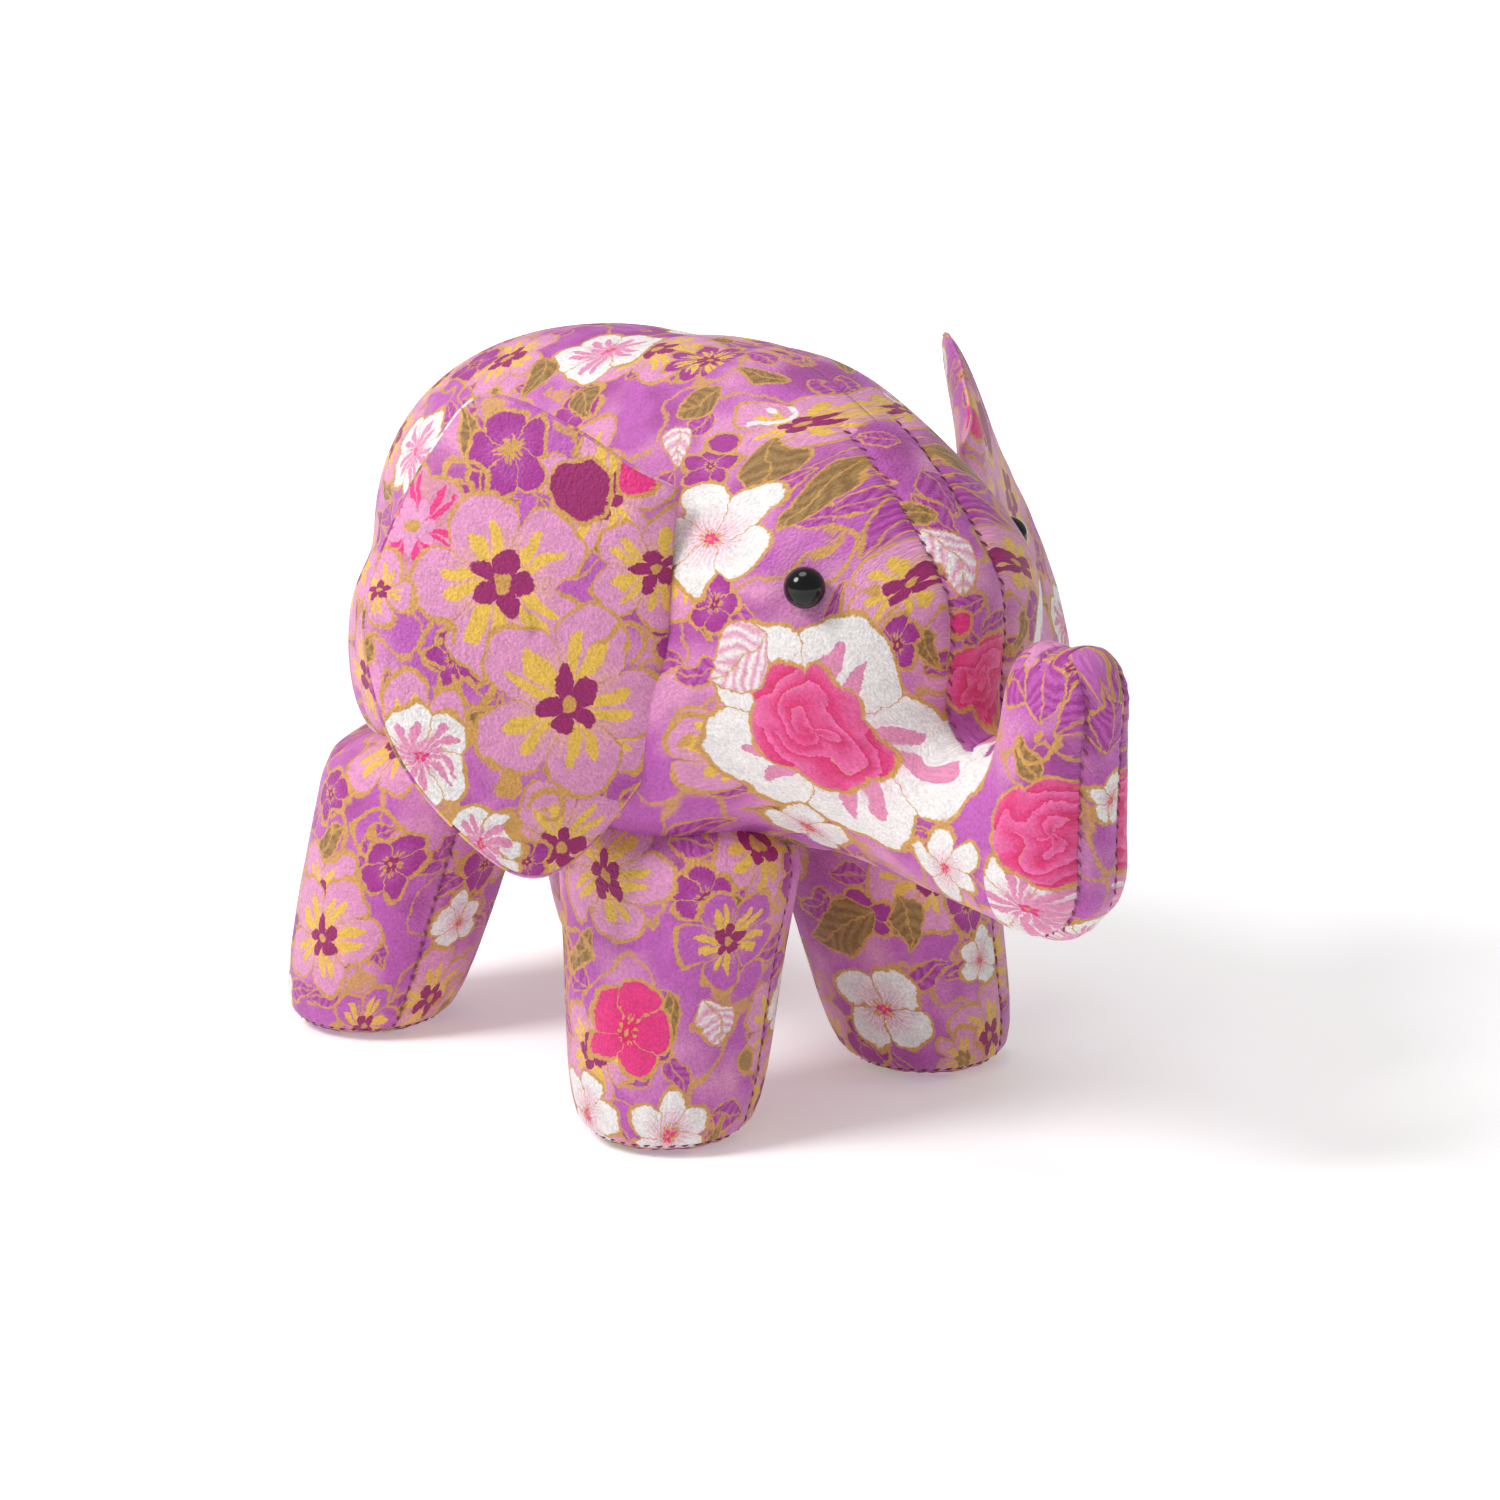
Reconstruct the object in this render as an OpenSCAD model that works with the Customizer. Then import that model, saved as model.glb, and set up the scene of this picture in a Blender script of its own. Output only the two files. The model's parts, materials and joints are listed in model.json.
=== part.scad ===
// Stuffed cloth elephant: sewn panels around separate fillings, flapping ears, a raised trunk and a tail.
// +X points to the trunk, +Y to the elephant's left, +Z up. The origin is on the floor, under the
// middle of the overall length.

/* [Body] */
// Length of the torso, rump to neck
torso_length = 134; // [112:1:160]
// Radius of the torso's round section
torso_radius = 44; // [38:1:52]
// Height of the torso's middle above the floor
torso_height = 99; // [90:1:110]
// How far the rump reaches behind the middle of the feet
rump_reach = 69; // [60:1:88]
// Squareness of the torso's ends, 2 for an ellipsoid
torso_squareness = 2.3; // [2:0.1:3]

/* [Head] */
// Length of the head
head_length = 100; // [84:1:120]
// Width of the head
head_width = 74; // [62:1:88]
// Height of the head
head_height = 92; // [78:1:104]
// Place of the head's middle ahead of the feet's middle
head_place = 50; // [46:1:60]
// Height of the head's middle above the torso's middle
head_rise = 4; // [0:1:10]
// Width of the forehead strip
forehead_width = 14; // [8:1:22]

/* [Trunk] */
// Thickness of the trunk at its bend
trunk_thickness = 27; // [23:1:32]
// Thickness of the trunk near its tip
trunk_tip_thickness = 23; // [19:1:28]
// Thickness of the trunk's root inside the head
trunk_root_thickness = 48; // [40:1:56]
// How far the bend lies ahead of the head's middle
trunk_reach = 69; // [62:1:78]
// How far the bend lies below the head's middle
trunk_drop = 40; // [34:1:42]
// Height of the raised part above the bend, to the base of the lips
trunk_rise = 34; // [28:1:44]
// Width of the strip under the trunk
trunk_strip_width = 9; // [6:1:14]
// Cloth to cloth clearance around the bend
bend_clearance = 0.6; // [0.4:0.1:1.2]

/* [Legs] */
// Radius of a sole
sole_radius = 18; // [14:0.5:21]
// Radius of a leg where it meets the torso
hip_radius = 25; // [21:0.5:28]
// Distance between the front and the rear soles
foot_span = 96; // [82:1:112]
// Half the distance between the front soles
front_foot_spread = 35; // [30:1:42]
// Half the distance between the rear soles
rear_foot_spread = 38; // [34:1:46]
// Half the distance between the hips
hip_spread = 21; // [18:0.5:25]
// How far a hip lies towards the body's middle from its sole
hip_set_in = 13; // [4:1:16]

/* [Ears] */
// Length of the ear's sewn edge
ear_root = 48; // [38:1:56]
// Reach of the ear behind its sewn edge
ear_reach = 58; // [48:1:66]
// Drop of the ear's lowest point under the sewn edge
ear_drop = 23; // [18:1:30]
// Rise of the ear's top corner over the sewn edge
ear_lift = 16; // [8:1:22]
// Thickness of an ear's padding at its middle
ear_padding_t = 6; // [3:0.5:9]
// Place of the ear's sewn edge ahead of the feet's middle
ear_place = 56; // [50:1:60]
// Angle that the ear stands out from the body's side
ear_flare = 50; // [35:1:60]
// Twist of the ear over its height, from the top to the bottom
ear_twist = 34; // [0:1:40]
// Gap between the ear's sewn edge and the cloth of the head
ear_gap = 1; // [0.6:0.1:2]

/* [Small pieces] */
// Thickness of the printed cloth with its backing
cloth = 1.2; // [0.8:0.1:1.8]
// Diameter of an eye bead
eye_d = 8; // [6:0.5:10]
// Height of an eye over the middle of the head
eye_rise = 10; // [4:1:14]
// Place of an eye ahead of the head's middle
eye_place = 31; // [24:1:36]
// How far the left eye is sewn behind the right one
left_eye_set_back = 11; // [0:1:14]
// Diameter of the thread between the eyes
thread_d = 1.2; // [0.8:0.1:2]
// Length of the tail
tail_length = 44; // [30:1:56]
// Diameter of the tail
tail_d = 7; // [5:0.5:9]

/* [Hidden] */

$fn = 48;
big = 400;
right = -1;
left = 1;
front = 1;
rear = -1;

orchid = "mediumorchid";
mauve = "plum";
magenta = "deeppink";
gold = "goldenrod";
fibre = "whitesmoke";

// Space between the rump and the tail, and where the tail starts above the torso's middle.
tail_gap = 0.5;
tail_rise_share = 0.2;

// The two lips at the trunk's tip: their lead ahead of the bend, and their shape.
lip_lead = 3;
lip_r = trunk_tip_thickness * 0.3;
lip_spread = lip_r * 0.7;
lip_width_share = 1.25;
lip_height_share = 1.3;

// The feet's middle lies behind the origin, which is under the middle of the overall length.
nose_reach = head_place + trunk_reach + lip_lead + lip_spread + lip_r;
tail_reach = rump_reach + tail_gap + tail_d;
feet_x = (tail_reach - nose_reach) / 2;

torso_middle_x = feet_x + torso_length / 2 - rump_reach;
head_middle = [feet_x + head_place, 0, torso_height + head_rise];
elbow = [head_middle[0] + trunk_reach, 0, head_middle[2] - trunk_drop];

// Where the trunk's root starts inside the head.
trunk_root_lead = 14;
trunk_root_drop = 20;
trunk_root = head_middle + [trunk_root_lead, 0, -head_rise - trunk_root_drop];

// Where the strips and the belly panel end.
trunk_strip_set_in = 6;
trunk_strip_top_z = elbow[2] - trunk_strip_set_in;
forehead_lead = 20;
forehead_back_x = head_middle[0] + forehead_lead;
forehead_end_share = 0.8;
forehead_end_z = elbow[2] + trunk_thickness * forehead_end_share;
belly_half_width = 20;
belly_top_share = 0.6;
belly_top_z = torso_height - torso_radius * belly_top_share;
leg_top_share = 0.4;
leg_top_z = torso_height - torso_radius * leg_top_share;

profile_steps = 14;

function power(v, p) = sign(v) * pow(abs(v), p);

// Half-profile of the torso, as radius against length: a squared ellipse.
function torso_profile(half_length, radius) = [
    for (i = [0 : profile_steps])
    let (a = 180 * i / profile_steps)
    [
        radius * power(sin(a), 2 / torso_squareness),
        half_length * power(cos(a), 2 / torso_squareness)
    ]
];

// A cone between two points of the body.
module cone_between(a, b, ra, rb) {
    d = b - a;
    reach = norm(d);
    turn = atan2(d[1], d[0]);
    lean = acos(d[2] / reach);
    translate(a) rotate([0, lean, turn]) rotate([0, 0, 90]) cylinder(r1 = ra, r2 = rb, h = reach);
}

// An ellipsoid whose poles lie on the elephant's left and right, clear of the panel seams.
module ellipsoid(half_axes) {
    scale(half_axes) rotate([90, 0, 180]) sphere(r = 1);
}

module torso_form(inset) {
    translate([torso_middle_x, 0, torso_height]) rotate([0, 90, 0])
        rotate_extrude() polygon(torso_profile(torso_length / 2 - inset, torso_radius - inset));
}

module head_form(inset) {
    translate(head_middle) ellipsoid([
        head_length / 2 - inset,
        head_width / 2 - inset,
        head_height / 2 - inset
    ]);
}

module trunk_root_form(inset) {
    difference() {
        cone_between(
            trunk_root, elbow,
            trunk_root_thickness / 2 - inset, trunk_thickness / 2 - inset
        );
        bend_space();
    }
}

module body_form(inset) {
    torso_form(inset);
    head_form(inset);
    trunk_root_form(inset);
}

module body_skin() {
    difference() {
        body_form(0);
        body_form(cloth);
    }
}

module half_space(side) {
    translate([-big / 2, side > 0 ? 0 : -big, -big / 2]) cube([big, big, big]);
}

module forehead_zone() {
    translate([forehead_back_x, -forehead_width / 2, forehead_end_z])
        cube([big, forehead_width, big]);
}

module trunk_root_zone() {
    translate([trunk_root[0], -trunk_strip_width / 2, 0])
        cube([big, trunk_strip_width, trunk_strip_top_z]);
}

module belly_zone() {
    back_x = foot_span / 2 + sole_radius;
    translate([feet_x - back_x, -belly_half_width, 0])
        cube([back_x + head_place, 2 * belly_half_width, belly_top_z]);
}

module side_panel(side) {
    difference() {
        intersection() {
            body_skin();
            half_space(side);
        }
        forehead_zone();
        trunk_root_zone();
        belly_zone();
        thread_form();
    }
}

module side_panel_right() { color(orchid) side_panel(right); }
module side_panel_left() { color(orchid) side_panel(left); }

module forehead_strip() {
    color(mauve) intersection() {
        body_skin();
        forehead_zone();
    }
}

module trunk_root_strip() {
    color(mauve) intersection() {
        body_skin();
        trunk_root_zone();
    }
}

module belly_panel() {
    color(mauve) intersection() {
        body_skin();
        belly_zone();
    }
}

module torso_filling() {
    color(fibre) intersection() {
        body_form(cloth);
        translate([head_middle[0] - big, -big / 2, -big / 2]) cube([big, big, big]);
    }
}

module head_filling() {
    color(fibre) difference() {
        intersection() {
            body_form(cloth);
            translate([head_middle[0], -big / 2, -big / 2]) cube([big, big, big]);
        }
        thread_form();
    }
}

// Eyes: beads sewn on by one thread that runs through the head and into both beads.
eye_stand_share = 0.3;
eye_facets = 96;
thread_hold = 1.5;

// The place on the head's cloth where an eye is sewn, from the middle of the head.
function eye_seat(side) =
    let (
        ahead = eye_place - (side > 0 ? left_eye_set_back : 0),
        depth = ahead / (head_length / 2),
        level = eye_rise / (head_height / 2)
    )
    [ahead, side * head_width / 2 * sqrt(1 - depth * depth - level * level), eye_rise];

// The way that an eye faces: straight out of the cloth.
function eye_way(side) =
    let (
        seat = eye_seat(side),
        slope = [
            seat[0] / pow(head_length, 2),
            seat[1] / pow(head_width, 2),
            seat[2] / pow(head_height, 2)
        ]
    )
    slope / norm(slope);

function eye_point(side, out) = head_middle + eye_seat(side) + eye_way(side) * out;

module thread_form() {
    cone_between(
        eye_point(right, thread_hold), eye_point(left, thread_hold),
        thread_d / 2, thread_d / 2
    );
}

module eye(side) {
    way = eye_way(side);
    color("black") difference() {
        translate(eye_point(side, 0)) rotate([0, acos(way[2]), atan2(way[1], way[0])])
            difference() {
                translate([0, 0, eye_d * eye_stand_share]) sphere(d = eye_d, $fn = eye_facets);
                translate([-big / 2, -big / 2, -big]) cube([big, big, big]);
            }
        thread_form();
    }
}

module eye_right() { eye(right); }
module eye_left() { eye(left); }
module eye_thread() { color("black") thread_form(); }

// Raised part of the trunk: it turns about the middle of the bend.
lip_base = elbow + [lip_lead, 0, trunk_rise];
bend_back_limit = 6;
trunk_start_share = 0.96;

module trunk_cone(inset) {
    cone_between(
        elbow, lip_base,
        trunk_thickness / 2 * trunk_start_share - inset, trunk_tip_thickness / 2 - inset
    );
}

module lip(along, rise, inset) {
    translate(lip_base + [along, 0, rise])
        ellipsoid([
            lip_r - inset,
            lip_r * lip_width_share - inset,
            lip_r * lip_height_share - inset
        ]);
}

module trunk_form(inset) {
    translate(elbow) rotate([90, 0, 180]) sphere(r = trunk_thickness / 2 - inset);
    trunk_cone(inset);
    lip(-lip_spread, 0, inset);
    lip(lip_spread, 1, inset);
}

// Space that the raised part needs in the trunk's root over its travel.
module bend_space() {
    translate(elbow) rotate([90, 0, 180]) sphere(r = trunk_thickness / 2 + bend_clearance);
    for (back = [0, bend_back_limit])
        translate(elbow) rotate([0, -back, 0]) translate(-elbow) trunk_cone(-bend_clearance);
}

module trunk_skin() {
    difference() {
        trunk_form(0);
        trunk_form(cloth);
    }
}

module trunk_strip_zone() {
    translate([elbow[0], -trunk_strip_width / 2, 0]) cube([big, trunk_strip_width, big]);
}

module trunk_panel(side) {
    difference() {
        intersection() {
            trunk_skin();
            half_space(side);
        }
        trunk_strip_zone();
    }
}

module trunk_panel_right() { color(orchid) trunk_panel(right); }
module trunk_panel_left() { color(orchid) trunk_panel(left); }

module trunk_strip() {
    color(mauve) intersection() {
        trunk_skin();
        trunk_strip_zone();
    }
}

module trunk_filling() { color(fibre) trunk_form(cloth); }

// Legs: two panels around a filling, closed by a flat sole.
function foot_y(end) = end > 0 ? front_foot_spread : rear_foot_spread;
function sole_middle(end, side) = [feet_x + end * foot_span / 2, side * foot_y(end), 0];
function hip(end, side) = [
    feet_x + end * (foot_span / 2 - hip_set_in),
    side * hip_spread,
    leg_top_z
];

// A leg tapers from the hip to the sole. Its cone starts below the floor and is cut flat there.
module leg_form(end, side, inset) {
    below = 0.25;
    foot = sole_middle(end, side);
    top = hip(end, side);
    growth = (hip_radius - sole_radius) * below;
    difference() {
        intersection() {
            cone_between(
                foot - (top - foot) * below, top,
                sole_radius - growth - inset, hip_radius - inset
            );
            translate([-big / 2, -big / 2, cloth]) cube([big, big, big]);
        }
        body_form(0);
    }
}

module leg_skin(end, side) {
    difference() {
        leg_form(end, side, 0);
        leg_form(end, side, cloth);
    }
}

module leg_outer_side(end, side) {
    lean = atan((foot_y(end) - hip_spread) / leg_top_z);
    translate([0, side * foot_y(end), 0]) rotate([side * lean, 0, 0]) half_space(side);
}

module leg_outer_panel(end, side) {
    color(orchid) intersection() {
        leg_skin(end, side);
        leg_outer_side(end, side);
    }
}

module leg_inner_panel(end, side) {
    color(mauve) difference() {
        leg_skin(end, side);
        leg_outer_side(end, side);
    }
}

module leg_filling(end, side) { color(fibre) leg_form(end, side, cloth); }

module sole(end, side) {
    color(magenta) translate(sole_middle(end, side)) cylinder(r = sole_radius, h = cloth);
}

module front_right_leg_outer_panel() { leg_outer_panel(front, right); }
module front_right_leg_inner_panel() { leg_inner_panel(front, right); }
module front_right_sole() { sole(front, right); }
module front_right_leg_filling() { leg_filling(front, right); }
module front_left_leg_outer_panel() { leg_outer_panel(front, left); }
module front_left_leg_inner_panel() { leg_inner_panel(front, left); }
module front_left_sole() { sole(front, left); }
module front_left_leg_filling() { leg_filling(front, left); }
module rear_right_leg_outer_panel() { leg_outer_panel(rear, right); }
module rear_right_leg_inner_panel() { leg_inner_panel(rear, right); }
module rear_right_sole() { sole(rear, right); }
module rear_right_leg_filling() { leg_filling(rear, right); }
module rear_left_leg_outer_panel() { leg_outer_panel(rear, left); }
module rear_left_leg_inner_panel() { leg_inner_panel(rear, left); }
module rear_left_sole() { sole(rear, left); }
module rear_left_leg_filling() { leg_filling(rear, left); }

// Ears: two panels around thin padding. The outline is reach behind the sewn edge against height.
ear_rings = 4;
ear_span_steps = 3;
ear_root_steps = 3;
ear_rim_t = 0.4;
ear_edge = 2;
ear_rise = 2.4;
ear_middle_z = head_middle[2] + ear_rise;
ear_middle_share = 0.45;
ear_hinge_y = head_width / 2 + ear_gap;

function ear_keys() = [
    [0, ear_root / 2],
    [0.35 * ear_reach, ear_root / 2 + 0.73 * ear_lift],
    [0.66 * ear_reach, ear_root / 2 + ear_lift],
    [0.80 * ear_reach, ear_root / 2 + 0.4 * ear_lift],
    [0.95 * ear_reach, ear_root * 0.27],
    [ear_reach, -ear_root * 0.1],
    [0.88 * ear_reach, -ear_root * 0.56],
    [0.64 * ear_reach, -ear_root / 2 - 0.8 * ear_drop],
    [0.45 * ear_reach, -ear_root / 2 - ear_drop],
    [0.22 * ear_reach, -ear_root / 2 - 0.7 * ear_drop],
    [0, -ear_root / 2]
];

function clamp_key(i, n) = max(0, min(n - 1, i));

// A smooth curve through the key points.
function curve_at(keys, i, f) =
    let (
        n = len(keys),
        a = keys[clamp_key(i - 1, n)],
        b = keys[i],
        c = keys[clamp_key(i + 1, n)],
        d = keys[clamp_key(i + 2, n)]
    )
    b + (c - a) * f / 2 + (2 * a - 5 * b + 4 * c - d) * f * f / 2
    + (3 * b - a - 3 * c + d) * f * f * f / 2;

function ear_outline() = let (keys = ear_keys()) concat(
    [
        for (i = [0 : len(keys) - 2], s = [0 : ear_span_steps - 1])
        curve_at(keys, i, s / ear_span_steps)
    ],
    [
        for (s = [0 : ear_root_steps - 1])
        [0, -ear_root / 2 + ear_root * s / ear_root_steps]
    ]
);

// A point of the ear: reach, height and offset in front of the ear's middle surface.
function ear_point(side, p, offset) =
    let (
        angle = ear_flare - ear_twist * p[1] / (ear_root + ear_drop),
        reach = p[0] + ear_edge
    )
    [
        feet_x + ear_place - reach * cos(angle) + offset * sin(angle),
        side * (ear_hinge_y + reach * sin(angle) + offset * cos(angle)),
        ear_middle_z + p[1]
    ];

// Half the padding's thickness on a ring, from 0 at the middle to 1 at the rim.
function padding_half(ring) = ear_rim_t / 2
    + (ear_padding_t - ear_rim_t) / 2 * sqrt(max(0, 1 - ring * ring * ring * ring));

function ear_sheet(side, face, extra) =
    let (
        rim = ear_outline(),
        n = len(rim),
        middle = [ear_reach * ear_middle_share, 0]
    )
    concat(
        [ear_point(side, middle, face * (padding_half(0) + extra))],
        [
            for (ring = [1 : ear_rings], i = [0 : n - 1])
            let (share = ring / ear_rings)
            ear_point(
                side, middle + (rim[i] - middle) * share,
                face * (padding_half(share) + extra)
            )
        ]
    );

function sheet_faces(n, start, flip) = [
    for (ring = [0 : ear_rings - 1], i = [0 : n - 1], half = [0, 1])
    if (ring > 0 || half == 0)
    let (
        next = (i + 1) % n,
        out = start + 1 + ring * n,
        inn = start + 1 + (ring - 1) * n,
        tri = ring == 0 ? [start, out + i, out + next]
            : half == 0 ? [inn + i, out + i, out + next]
            : [inn + i, out + next, inn + next]
    )
    flip ? [tri[2], tri[1], tri[0]] : tri
];

function rim_faces(n, a, b, flip) = [
    for (i = [0 : n - 1], half = [0, 1])
    let (
        next = (i + 1) % n,
        tri = half == 0 ? [a + i, b + i, b + next] : [a + i, b + next, a + next]
    )
    flip ? [tri[2], tri[1], tri[0]] : tri
];

// A closed layer of the ear between two sheets, each given as [face, extra].
module ear_layer(side, lower, upper) {
    n = len(ear_outline());
    low = ear_sheet(side, lower[0], lower[1]);
    high = ear_sheet(side, upper[0], upper[1]);
    flip = side > 0;
    last_ring = 1 + (ear_rings - 1) * n;
    polyhedron(
        points = concat(low, high),
        faces = concat(
            sheet_faces(n, 0, !flip),
            sheet_faces(n, len(low), flip),
            rim_faces(n, last_ring, len(low) + last_ring, !flip)
        )
    );
}

module ear_front_panel(side) { color(orchid) ear_layer(side, [1, 0], [1, cloth]); }
module ear_padding(side) { color(fibre) ear_layer(side, [-1, 0], [1, 0]); }
module ear_back_panel(side) { color(mauve) ear_layer(side, [-1, cloth], [-1, 0]); }

module ear_right_front_panel() { ear_front_panel(right); }
module ear_right_padding() { ear_padding(right); }
module ear_right_back_panel() { ear_back_panel(right); }
module ear_left_front_panel() { ear_front_panel(left); }
module ear_left_padding() { ear_padding(left); }
module ear_left_back_panel() { ear_back_panel(left); }

// Tail: a sewn tube over a cord. It hangs clear of the rump.
tail_root = [
    feet_x - rump_reach - tail_gap - tail_d / 2,
    0,
    torso_height + torso_radius * tail_rise_share
];
tail_top_share = 0.98;
tail_bottom_share = 0.8;
tail_end_share = 0.9;

module tail_form(inset) {
    r = tail_d / 2 - inset;
    translate(tail_root) {
        sphere(r = r);
        translate([0, 0, -tail_length])
            cylinder(r1 = r * tail_bottom_share, r2 = r * tail_top_share, h = tail_length);
        translate([0, 0, -tail_length]) sphere(r = r * tail_end_share);
    }
}

module tail_cover() {
    color(orchid) difference() {
        tail_form(0);
        tail_form(cloth);
    }
}

module tail_cord() { color(fibre) tail_form(cloth); }

side_panel_right();
side_panel_left();
forehead_strip();
trunk_root_strip();
belly_panel();
torso_filling();
head_filling();
eye_right();
eye_left();
eye_thread();
trunk_panel_right();
trunk_panel_left();
trunk_strip();
trunk_filling();
front_right_leg_outer_panel();
front_right_leg_inner_panel();
front_right_sole();
front_right_leg_filling();
front_left_leg_outer_panel();
front_left_leg_inner_panel();
front_left_sole();
front_left_leg_filling();
rear_right_leg_outer_panel();
rear_right_leg_inner_panel();
rear_right_sole();
rear_right_leg_filling();
rear_left_leg_outer_panel();
rear_left_leg_inner_panel();
rear_left_sole();
rear_left_leg_filling();
ear_right_front_panel();
ear_right_padding();
ear_right_back_panel();
ear_left_front_panel();
ear_left_padding();
ear_left_back_panel();
tail_cover();
tail_cord();
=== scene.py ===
# %% [markdown]
# # A stuffed cloth elephant
# The frame holds the elephant's structure: sewn panels around fillings, two ears that flap, a trunk
# that bends and a tail. Here each of them gets its soft shape, its seams and its printed cloth.
# Lengths are written in millimetres while a piece is shaped, and turned to metres at the end.

# %% Load the frame
import json
import math

import bmesh
import bpy
import numpy as np
from mathutils import Matrix, Vector, noise
from mathutils.bvhtree import BVHTree
from mathutils.kdtree import KDTree

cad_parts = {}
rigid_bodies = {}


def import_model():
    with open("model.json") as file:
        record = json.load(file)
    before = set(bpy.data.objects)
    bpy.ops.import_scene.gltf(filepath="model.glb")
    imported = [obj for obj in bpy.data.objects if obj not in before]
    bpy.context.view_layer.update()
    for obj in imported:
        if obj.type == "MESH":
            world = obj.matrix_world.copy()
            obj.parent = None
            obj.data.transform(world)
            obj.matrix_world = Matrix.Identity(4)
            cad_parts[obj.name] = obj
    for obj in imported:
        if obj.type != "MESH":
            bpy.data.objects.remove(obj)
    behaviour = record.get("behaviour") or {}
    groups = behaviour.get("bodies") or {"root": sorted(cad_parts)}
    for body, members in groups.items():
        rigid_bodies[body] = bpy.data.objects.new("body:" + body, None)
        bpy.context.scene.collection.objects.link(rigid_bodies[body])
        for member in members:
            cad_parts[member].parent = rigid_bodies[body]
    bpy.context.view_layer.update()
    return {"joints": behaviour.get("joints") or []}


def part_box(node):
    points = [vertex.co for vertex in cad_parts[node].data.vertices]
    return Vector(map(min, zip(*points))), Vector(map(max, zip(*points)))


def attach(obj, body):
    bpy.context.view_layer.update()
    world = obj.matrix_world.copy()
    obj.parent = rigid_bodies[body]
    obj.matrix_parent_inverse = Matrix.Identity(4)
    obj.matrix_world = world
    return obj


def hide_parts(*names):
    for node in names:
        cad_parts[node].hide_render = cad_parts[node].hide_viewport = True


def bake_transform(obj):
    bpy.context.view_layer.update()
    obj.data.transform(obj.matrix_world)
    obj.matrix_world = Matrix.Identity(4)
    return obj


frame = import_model()
MM = 0.001
scene = bpy.context.scene

# %% [markdown]
# Every place comes from the frame: the hinge of each ear, the bend of the trunk, the root of the
# tail, and the boxes of the soles and fillings. The head's middle is not a box corner, so it is
# worked out from the filling of the head and from the ear's hinge.

# %% Places on the elephant, in millimetres
def millimetres(v):
    return Vector(v) / MM


joint_at = {j["name"]: millimetres(j["pos_m"]) for j in frame["joints"]}
ELBOW = joint_at["trunk_bend"]
EAR_HINGE = joint_at["ear_left_flap"]
TAIL_ROOT = joint_at["tail_swing"]


def node_box(name):
    low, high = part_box(name)
    return millimetres(low), millimetres(high)


CLOTH_OVER_FILLING = 1.2
MIDDLE_BELOW_HINGE = 2.4
torso_low = node_box("torso_filling")[0]
head_low = node_box("head_filling")[0]
RUMP_X = torso_low.x - CLOTH_OVER_FILLING
BELLY_Z = torso_low.z - CLOTH_OVER_FILLING
HEAD_MIDDLE = Vector((head_low.x, 0, EAR_HINGE.z - MIDDLE_BELOW_HINGE))
EYE = {-1: sum(node_box("eye_right"), Vector()) / 2, 1: sum(node_box("eye_left"), Vector()) / 2}
print("elbow", ELBOW, "head", HEAD_MIDDLE, "rump", round(RUMP_X, 1), "belly", round(BELLY_Z, 1))

# %% The four legs: where each stands and where it meets the body
LEGS = [("front", "right"), ("front", "left"), ("rear", "right"), ("rear", "left")]
HIP_SET_IN = {"front": 9.0, "rear": 13.0}
HIP_SPREAD = 21.5
LEG_TOP = 80.0


def sole_middle(end, side):
    low, high = node_box(f"{end}_{side}_sole")
    return Vector(((low.x + high.x) / 2, (low.y + high.y) / 2, 0))


def haunch_of(end, side):
    sole = sole_middle(end, side)
    inward = -1 if end == "front" else 1
    return Vector((sole.x + inward * HIP_SET_IN[end], math.copysign(HIP_SPREAD, sole.y), LEG_TOP))


# %% [markdown]
# ## Shaping helpers
# A stuffed form starts as a few overlapping balls and tapered tubes. A voxel remesh melts them into
# one skin, and a few rounds of smoothing stretch it as a filling does.

# %% Balls and tapered tubes
def ball(bm, middle, half, square=2.0):
    made = bmesh.ops.create_icosphere(bm, subdivisions=5, radius=1)["verts"]
    for v in made:
        d = v.co.normalized()
        reach = sum(abs(c) ** square for c in d) ** (-1 / square)
        v.co = Vector(middle) + Vector(c * h * reach for c, h in zip(d, half))


def tube(bm, start, end, start_r, end_r):
    start, end = Vector(start), Vector(end)
    turn = (end - start).to_track_quat("Z", "Y").to_matrix().to_4x4()
    bmesh.ops.create_cone(
        bm, cap_ends=True, segments=48, radius1=start_r, radius2=end_r,
        depth=(end - start).length, matrix=Matrix.Translation((start + end) / 2) @ turn,
    )


# %% Meshes and modifiers
def new_object(name, bm):
    mesh = bpy.data.meshes.new(name)
    bm.to_mesh(mesh)
    bm.free()
    made = bpy.data.objects.new(name, mesh)
    scene.collection.objects.link(made)
    return made


def apply_modifiers(obj):
    shown = obj.evaluated_get(bpy.context.evaluated_depsgraph_get())
    mesh = bpy.data.meshes.new_from_object(shown)
    obj.modifiers.clear()
    old = obj.data
    obj.data = mesh
    bpy.data.meshes.remove(old)


def remesh(obj, voxel):
    modifier = obj.modifiers.new("remesh", "REMESH")
    modifier.mode = "VOXEL"
    modifier.voxel_size = voxel
    apply_modifiers(obj)


def smooth(obj, rounds, factor=0.5):
    bm = bmesh.new()
    bm.from_mesh(obj.data)
    for _ in range(rounds):
        bmesh.ops.smooth_vert(
            bm, verts=bm.verts, factor=factor, use_axis_x=True, use_axis_y=True, use_axis_z=True
        )
    bm.to_mesh(obj.data)
    bm.free()


def subdivide(obj, levels=1):
    modifier = obj.modifiers.new("subdivide", "SUBSURF")
    modifier.levels = modifier.render_levels = levels
    apply_modifiers(obj)


def points_of(obj):
    points = np.zeros(len(obj.data.vertices) * 3)
    obj.data.vertices.foreach_get("co", points)
    return points.reshape(-1, 3)


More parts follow.
